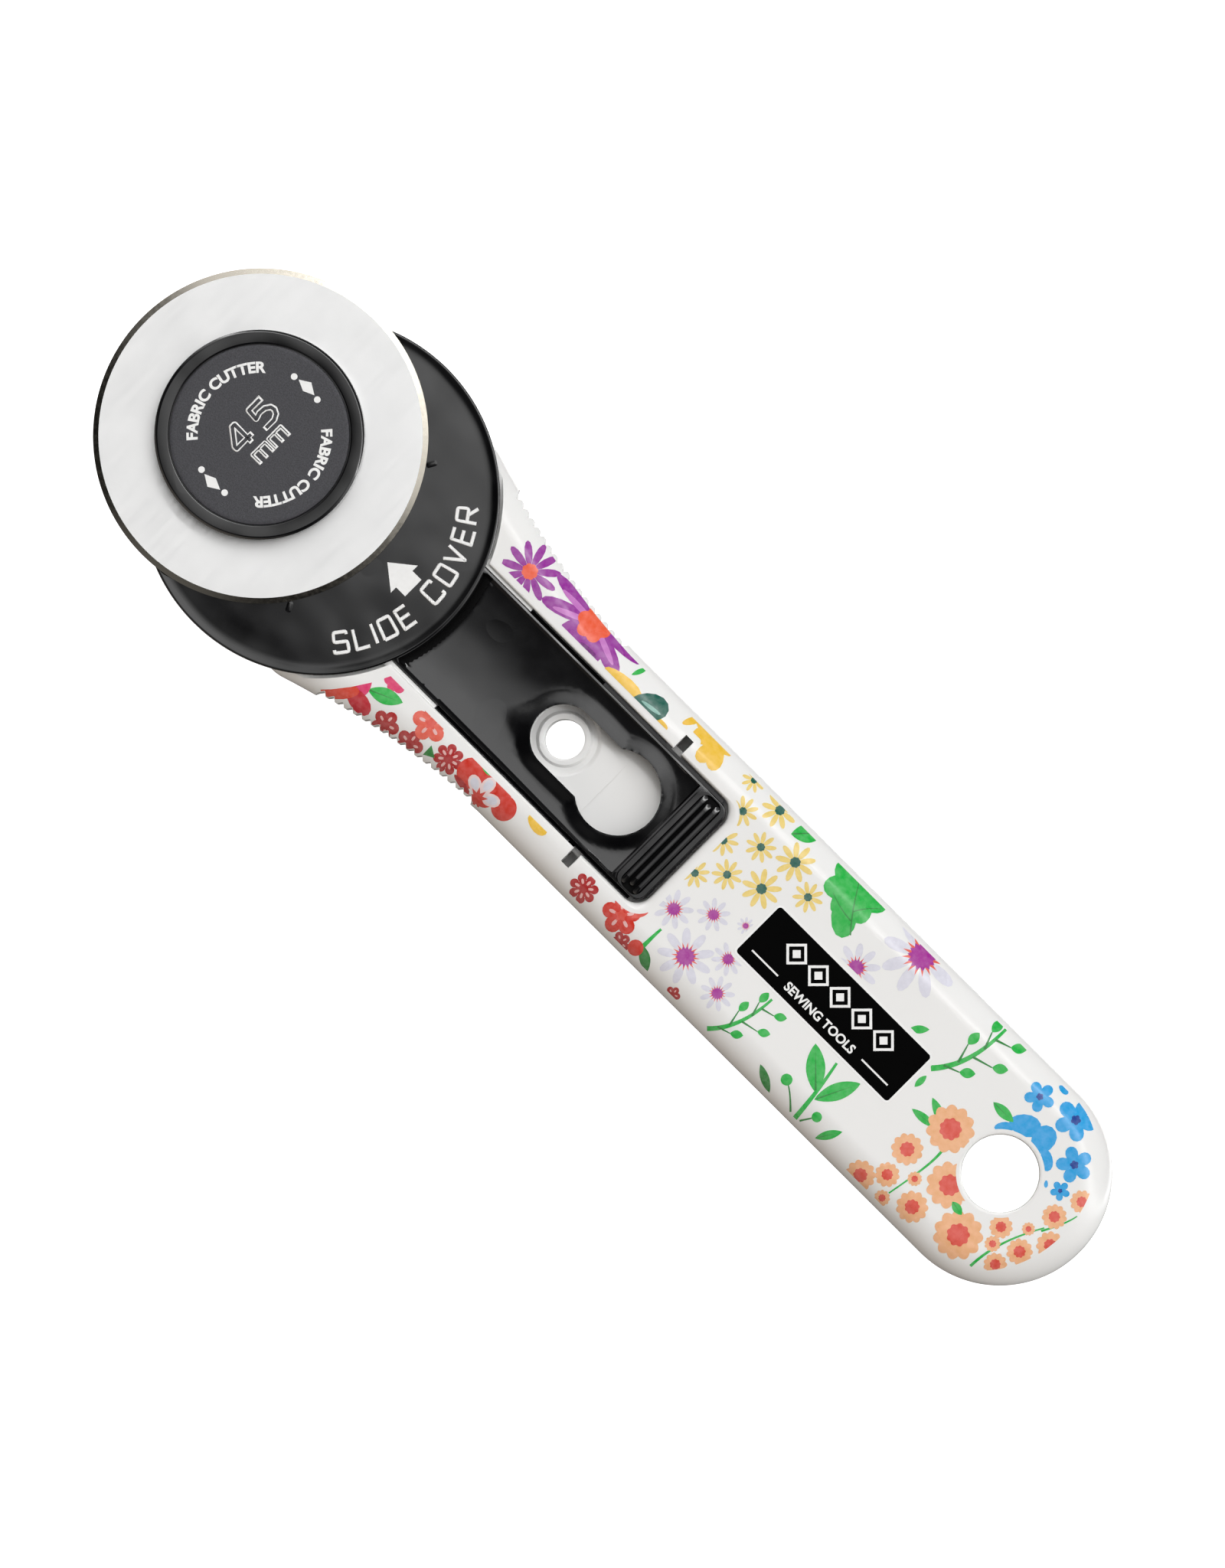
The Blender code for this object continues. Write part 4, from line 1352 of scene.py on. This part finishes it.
def make_cover_legend():
    legend = stroke_text("cover_legend", "SLIDE COVER", 2.75, 0.5, 1.03, 0.0, 1.13)
    bend(legend, (COVER_X, 0.0), 21.25, 0.0, 0.0, False)
    for vertex in legend.vertices:
        radius = math.hypot(vertex.co.x / MM - COVER_X, vertex.co.y / MM)
        vertex.co.z += (cover_top(radius) + 0.01) * MM
    place(as_object("cover_legend", legend, LETTERING), "blade_cover", "cover_plastic")
    tip, neck, end = 24.0, 27.2, 28.9
    lower = [(tip, 0.0), (neck, -2.55), (neck, -1.55), (end, -1.55)]
    arrow = lower + [(x, -y) for x, y in lower[:0:-1]]
    height = cover_top(tip - COVER_X)
    pointer = prism("cover_arrow", arrow, height - 0.25, height + 0.015, LETTERING)
    place(pointer, "blade_cover", "cover_plastic")


# Head: blade, cap, disc, bolt


def make_blade():
    back, front = blade_low.z, blade_high.z
    bevel, edge = 0.75, 0.024
    bevel_height = (front - back - edge) / 2
    profile = ring_profile(BOLT_BORE, BLADE_RADIUS, back, front, 0.03, bevel, bevel_height)
    blade = turned("blade_disc", profile, 256, BLADE_STEEL)
    blade.data.materials.append(EDGE_STEEL)
    for face in blade.data.polygons:
        if math.hypot(face.center.x, face.center.y) / MM > BLADE_RADIUS - 0.99 * bevel:
            face.material_index = 1
    place(blade, "blade", "blade_steel", "blade", sharp=8)


def make_cap():
    (_, _, back), (_, radius, front) = frame_box("head_cap")
    rebate = frame_box("cap_disc")[1].y + 0.13
    profile = [(BOLT_BORE, back), (radius - 0.3, back), (radius, back + 0.3)]
    profile += [(radius - inwards, front - down) for inwards, down in quarter(0.45, 4)]
    profile += [(rebate + 0.2, front - 0.03), (rebate + 0.05, front - 0.07), (rebate, front - 0.2)]
    profile += [(rebate, front - 1.1), (9, front - 1.1), (9, back + 0.75), (BOLT_BORE, back + 0.75)]
    cap = turned("cap_ring", profile, 160, BLACK)
    place(cap, "handle", "cover_plastic", "head_cap", sharp=40)


def make_disc():
    (_, _, low), (_, edge, high) = frame_box("cap_disc")
    profile = [(0.0, low), (edge, low), (edge, high - 0.2), (edge - 0.06, high - 0.06)]
    profile += [(edge - 0.2, high), (edge - 0.6, high + 0.02), (0.0, high + 0.04)]
    disc = turned("cap_inlay", profile, 160, GRAIN)
    place(disc, "handle", "disc_plastic", "cap_disc", sharp=40)
    top = high + 0.03
    for side, middle in (("left", 180.0), ("right", 0.0)):
        words = text_mesh(f"disc_words_{side}", "FABRIC CUTTER", 2.0, 0.08)
        bend(words, (0.0, 0.0), 8.35, middle, top, True)
        place(as_object(words.name, words, LETTERING), "handle", "disc_plastic")
    for name, middle in (("upper", 90.0), ("lower", -90.0)):
        place(ornament(f"disc_ornament_{name}", middle, top), "handle", "disc_plastic")
    for name, text, height, x, wide, gap, widen in (
        ("number", "45", 3.3, 0.0, 1.02, 1.35, 1.35),
        ("unit", "mm", 1.75, 2.95, 0.68, 0.62, 1.45),
    ):
        # white strokes, with dark ones just above that leave an outline
        for layer, slimmer, trim, lift, material in (
            ("line", 0.0, 0.0, 0.0, LETTERING),
            ("fill", 0.54, 0.27, 0.012, GRAIN),
        ):
            piece, thickness = f"disc_{name}_{layer}", wide - slimmer
            words = stroke_text(piece, text, height, thickness, gap, trim, widen)
            lay_straight(words, (x, 0.1), 90, top + lift)
            place(as_object(words.name, words, material), "handle", "disc_plastic")


def ornament(name, middle, top):
    """A diamond between two dots, on the same ring as the words."""
    radius = 9.05
    mesh = bmesh.new()
    shapes = ((-14, 0.45, 0.45, 20), (0, 1.5, 0.8, 4), (14, 0.45, 0.45, 20))
    for turn, half_width, half_height, corners in shapes:
        outline = []
        for i in range(corners):
            u, v = polar(0, 0, 1, 360 * i / corners)
            along = math.degrees(half_width * u / radius)
            outline.append(polar(0, 0, radius + half_height * v, middle + turn - along))
        add_stack(mesh, [(outline, top - 0.02), (outline, top + 0.02)])
    bmesh.ops.recalc_face_normals(mesh, faces=mesh.faces[:])
    return as_object(name, mesh_from(name, mesh), LETTERING)


def make_bolt():
    """Round head in the cap, shoulder, two flats in the handle, and a rolled thread."""
    (_, _, low), (_, _, high) = frame_box("bolt")
    head_low = high - 1.1
    head = [(0.0, head_low), (8.7, head_low), (8.9, head_low + 0.2)]
    head += [(8.9, high - 0.2), (8.7, high), (0.0, high)]
    bolt = turned("bolt_body", head, 96, BOLT_STEEL)
    shoulder, flat = circle((0, 0), 3.9, 72), 3.1
    flats = [(x, max(-flat, min(flat, y))) for x, y in shoulder]
    thread_top, root, crest = HEAD_BACK + 0.5, 2.45, 2.9
    profile = [(0.0, low), (root - 0.3, low), (root, low + 0.4)]
    for turn in range(6):
        z = low + 0.5 + turn
        profile += [(root, z), (crest, z + 0.42), (crest, z + 0.55), (root, z + 0.96)]
    profile += [(root, thread_top), (0.0, thread_top)]
    join(
        bolt,
        prism("bolt_shoulder", shoulder, HEAD_FRONT + 0.1, head_low + 0.3),
        prism("bolt_flats", flats, HEAD_BACK + 0.2, HEAD_FRONT + 0.3),
        turned("bolt_thread", profile, 72),
    )
    settle(bolt)
    place(bolt, "handle", "bolt_steel", "bolt", sharp=32)


# Back: washer, knob, insert


def make_washer():
    (_, _, low), (outer, _, high) = frame_box("spring_washer")
    inner, outer, middle = 4.3, outer - BOLT_X, (low + high) / 2
    half, wave, soft = 0.2, 0.32, 0.06
    profile = ring_profile(inner, outer, middle - half, middle + half, soft, soft)
    washer = turned("washer_ring", profile, 120, SPRING_STEEL)
    for vertex in washer.data.vertices:
        x, y = vertex.co.x, vertex.co.y
        vertex.co.z += wave * (x * x - y * y) / (outer * outer * MM)
    place(washer, "spring_washer", "spring_steel", "spring_washer", sharp=40)


def fluted(radius, depth):
    """A round outline with 24 grip grooves."""
    steps = 12

    def reach(i):
        return radius - depth * ((1 - math.cos(2 * math.pi * i / steps)) / 2) ** 1.6

    return radial(0, 0, 24 * steps, reach)


def make_knob():
    (_, _, front), (_, radius, back) = frame_box("nut_knob")
    front_round, back_round = 0.8, 0.9
    # how far each level stands in, its height, and how much of its flutes' depth it loses
    levels = [(d, front + i, d / front_round) for i, d in quarter(front_round, 3)]
    levels += [(i, back - d, i / back_round) for i, d in quarter(back_round, 3)]
    loops = [(fluted(radius - drop, 0.75 * (1 - loss) + 0.05), z) for drop, z, loss in levels]
    knob = stack("knob_body", loops, KNOB)
    dish = [(0, front - OVERCUT), (0, front), (0.15, front + 0.2), (0.45, front + 0.75)]
    dish.append((0.75, front + 0.9))
    seat = circle((0, 0), frame_box("nut_insert")[1].y + 0.1, 72)
    cut(
        knob,
        stepped("knob_dish", circle((0, 0), 8.75, 96), dish),
        prism("insert_seat", seat, front - OVERCUT, back + OVERCUT),
    )
    settle(knob)
    place(knob, "nut", "knob_plastic", "nut_knob", sharp=40)


def make_insert():
    (_, _, low), (_, radius, high) = frame_box("nut_insert")
    profile = ring_profile(3.0, radius, low, high, 0.25, 0.15)
    insert = turned("insert_ring", profile, 96, BRASS)
    place(insert, "nut", "insert_brass", "nut_insert", sharp=40)


# Studio


SKY = (
    # share of +Y in the direction, strength, how much it darkens away from the XZ middle, and
    # the tint's green and blue
    (-1.0, 0.75, 0, 0.88, 0.78), (-0.86, 0.75, 0, 0.9, 0.8), (-0.6, 0.42, 0.3, 0.95, 0.88),
    (-0.45, 0.2, 1, 0.98, 0.95), (-0.2, 0.06, 1, 1, 1), (-0.11, 0.08, 1, 1, 1),
    (-0.03, 0.66, 1, 1, 1), (0.0, 0.97, 1, 1, 1), (0.07, 1.3, 1, 1, 1), (0.14, 1.75, 0.5, 1, 1),
    (0.38, 1.75, 0, 1, 1), (0.384, 8.2, 0, 1, 1), (0.466, 8.2, 0, 1, 1), (0.47, 1.1, 0, 1, 1),
    (0.6, 0.4, 0, 1, 1), (1.0, 0.15, 0, 1, 1),
)
# Share of X in the direction, either way, and what is left of the strength where it darkens
GAP = ((0.0, 1), (0.09, 1), (0.2, 0.1), (0.45, 0.15), (0.75, 0.5))


def make_world():
    """A bright tent over the +Y side with one strip lamp, dark gaps round the bright middle and a
    dimmer, warmer -Y side."""
    world = bpy.data.worlds.new("studio")
    bpy.context.scene.world = world
    world.use_nodes = True
    tree = world.node_tree
    background = tree.nodes["Background"]

    def new(kind, *links, **settings):
        node = tree.nodes.new(kind)
        for key, value in settings.items():
            setattr(node, key, value)
        for socket, source in links:
            if isinstance(source, bpy.types.NodeSocket):
                tree.links.new(source, node.inputs[socket])
            else:
                node.inputs[socket].default_value = source
        return node.outputs

    def ramp(source, stops):
        outputs = new("ShaderNodeValToRGB", (0, source))
        elements = outputs[0].node.color_ramp.elements
        while len(elements) < len(stops):
            elements.new(0.5)
        for element, (position, colour) in zip(elements, stops):
            element.position = position
            element.color = colour
        return outputs

    def mix(factor, a, b, **settings):
        return new("ShaderNodeMix", (0, factor), (6, a), (7, b), data_type="RGBA", **settings)[2]

    direction = new("ShaderNodeTexCoord")["Generated"]
    x, y, z = new("ShaderNodeSeparateXYZ", (0, direction))
    peak = max(stop[1] for stop in SKY)
    share = new("ShaderNodeMapRange", ("Value", y), ("From Min", -1.0))[0]
    bands = [
        ((at + 1) / 2, (level / peak, level / peak * green, level / peak * blue, dims))
        for at, level, dims, green, blue in SKY
    ]
    colour, dims = ramp(share, bands)
    aside = new("ShaderNodeMath", (0, x), operation="ABSOLUTE")[0]
    gap = ramp(aside, [(at, (left, left, left, 1)) for at, left in GAP])[0]
    lit = mix(1.0, colour, mix(dims, (1, 1, 1, 1), gap), blend_type="MULTIPLY")
    rise = (("From Min", -0.1), ("From Max", 0.1), ("To Min", 0.6 * peak), ("To Max", peak))
    level = new("ShaderNodeMapRange", ("Value", z), *rise)[0]
    tree.links.new(lit, background.inputs[0])
    tree.links.new(level, background.inputs[1])


def make_floor():
    mesh = bmesh.new()
    bmesh.ops.create_grid(mesh, x_segments=8, y_segments=8, size=3.0)
    floor = as_object("floor", mesh_from("floor", mesh))
    floor.location.z = -0.2 * MM
    n = Nodes("floor_paper")
    n.bump(n.noise(0.4, 2), 0.01, 0.3)
    n.set(
        Base_Color=n.blend(n.noise(40, 2), (0.9, 0.9, 0.9), (0.93, 0.93, 0.93)),
        Roughness=0.8,
        Emission_Color=(1, 1, 1, 1),
        Emission_Strength=1.0,
    )
    floor.data.materials.append(n.material)
    floor.visible_diffuse = False
    floor.visible_glossy = False
    floor.visible_shadow = False


def make_studio():
    make_world()
    make_floor()
    bpy.context.scene.view_settings.view_transform = "Standard"


# The whole cutter

make_handle()
make_print()
make_label()
make_cover()
make_cover_legend()
make_blade()
make_cap()
make_disc()
make_bolt()
make_washer()
make_knob()
make_insert()
make_studio()
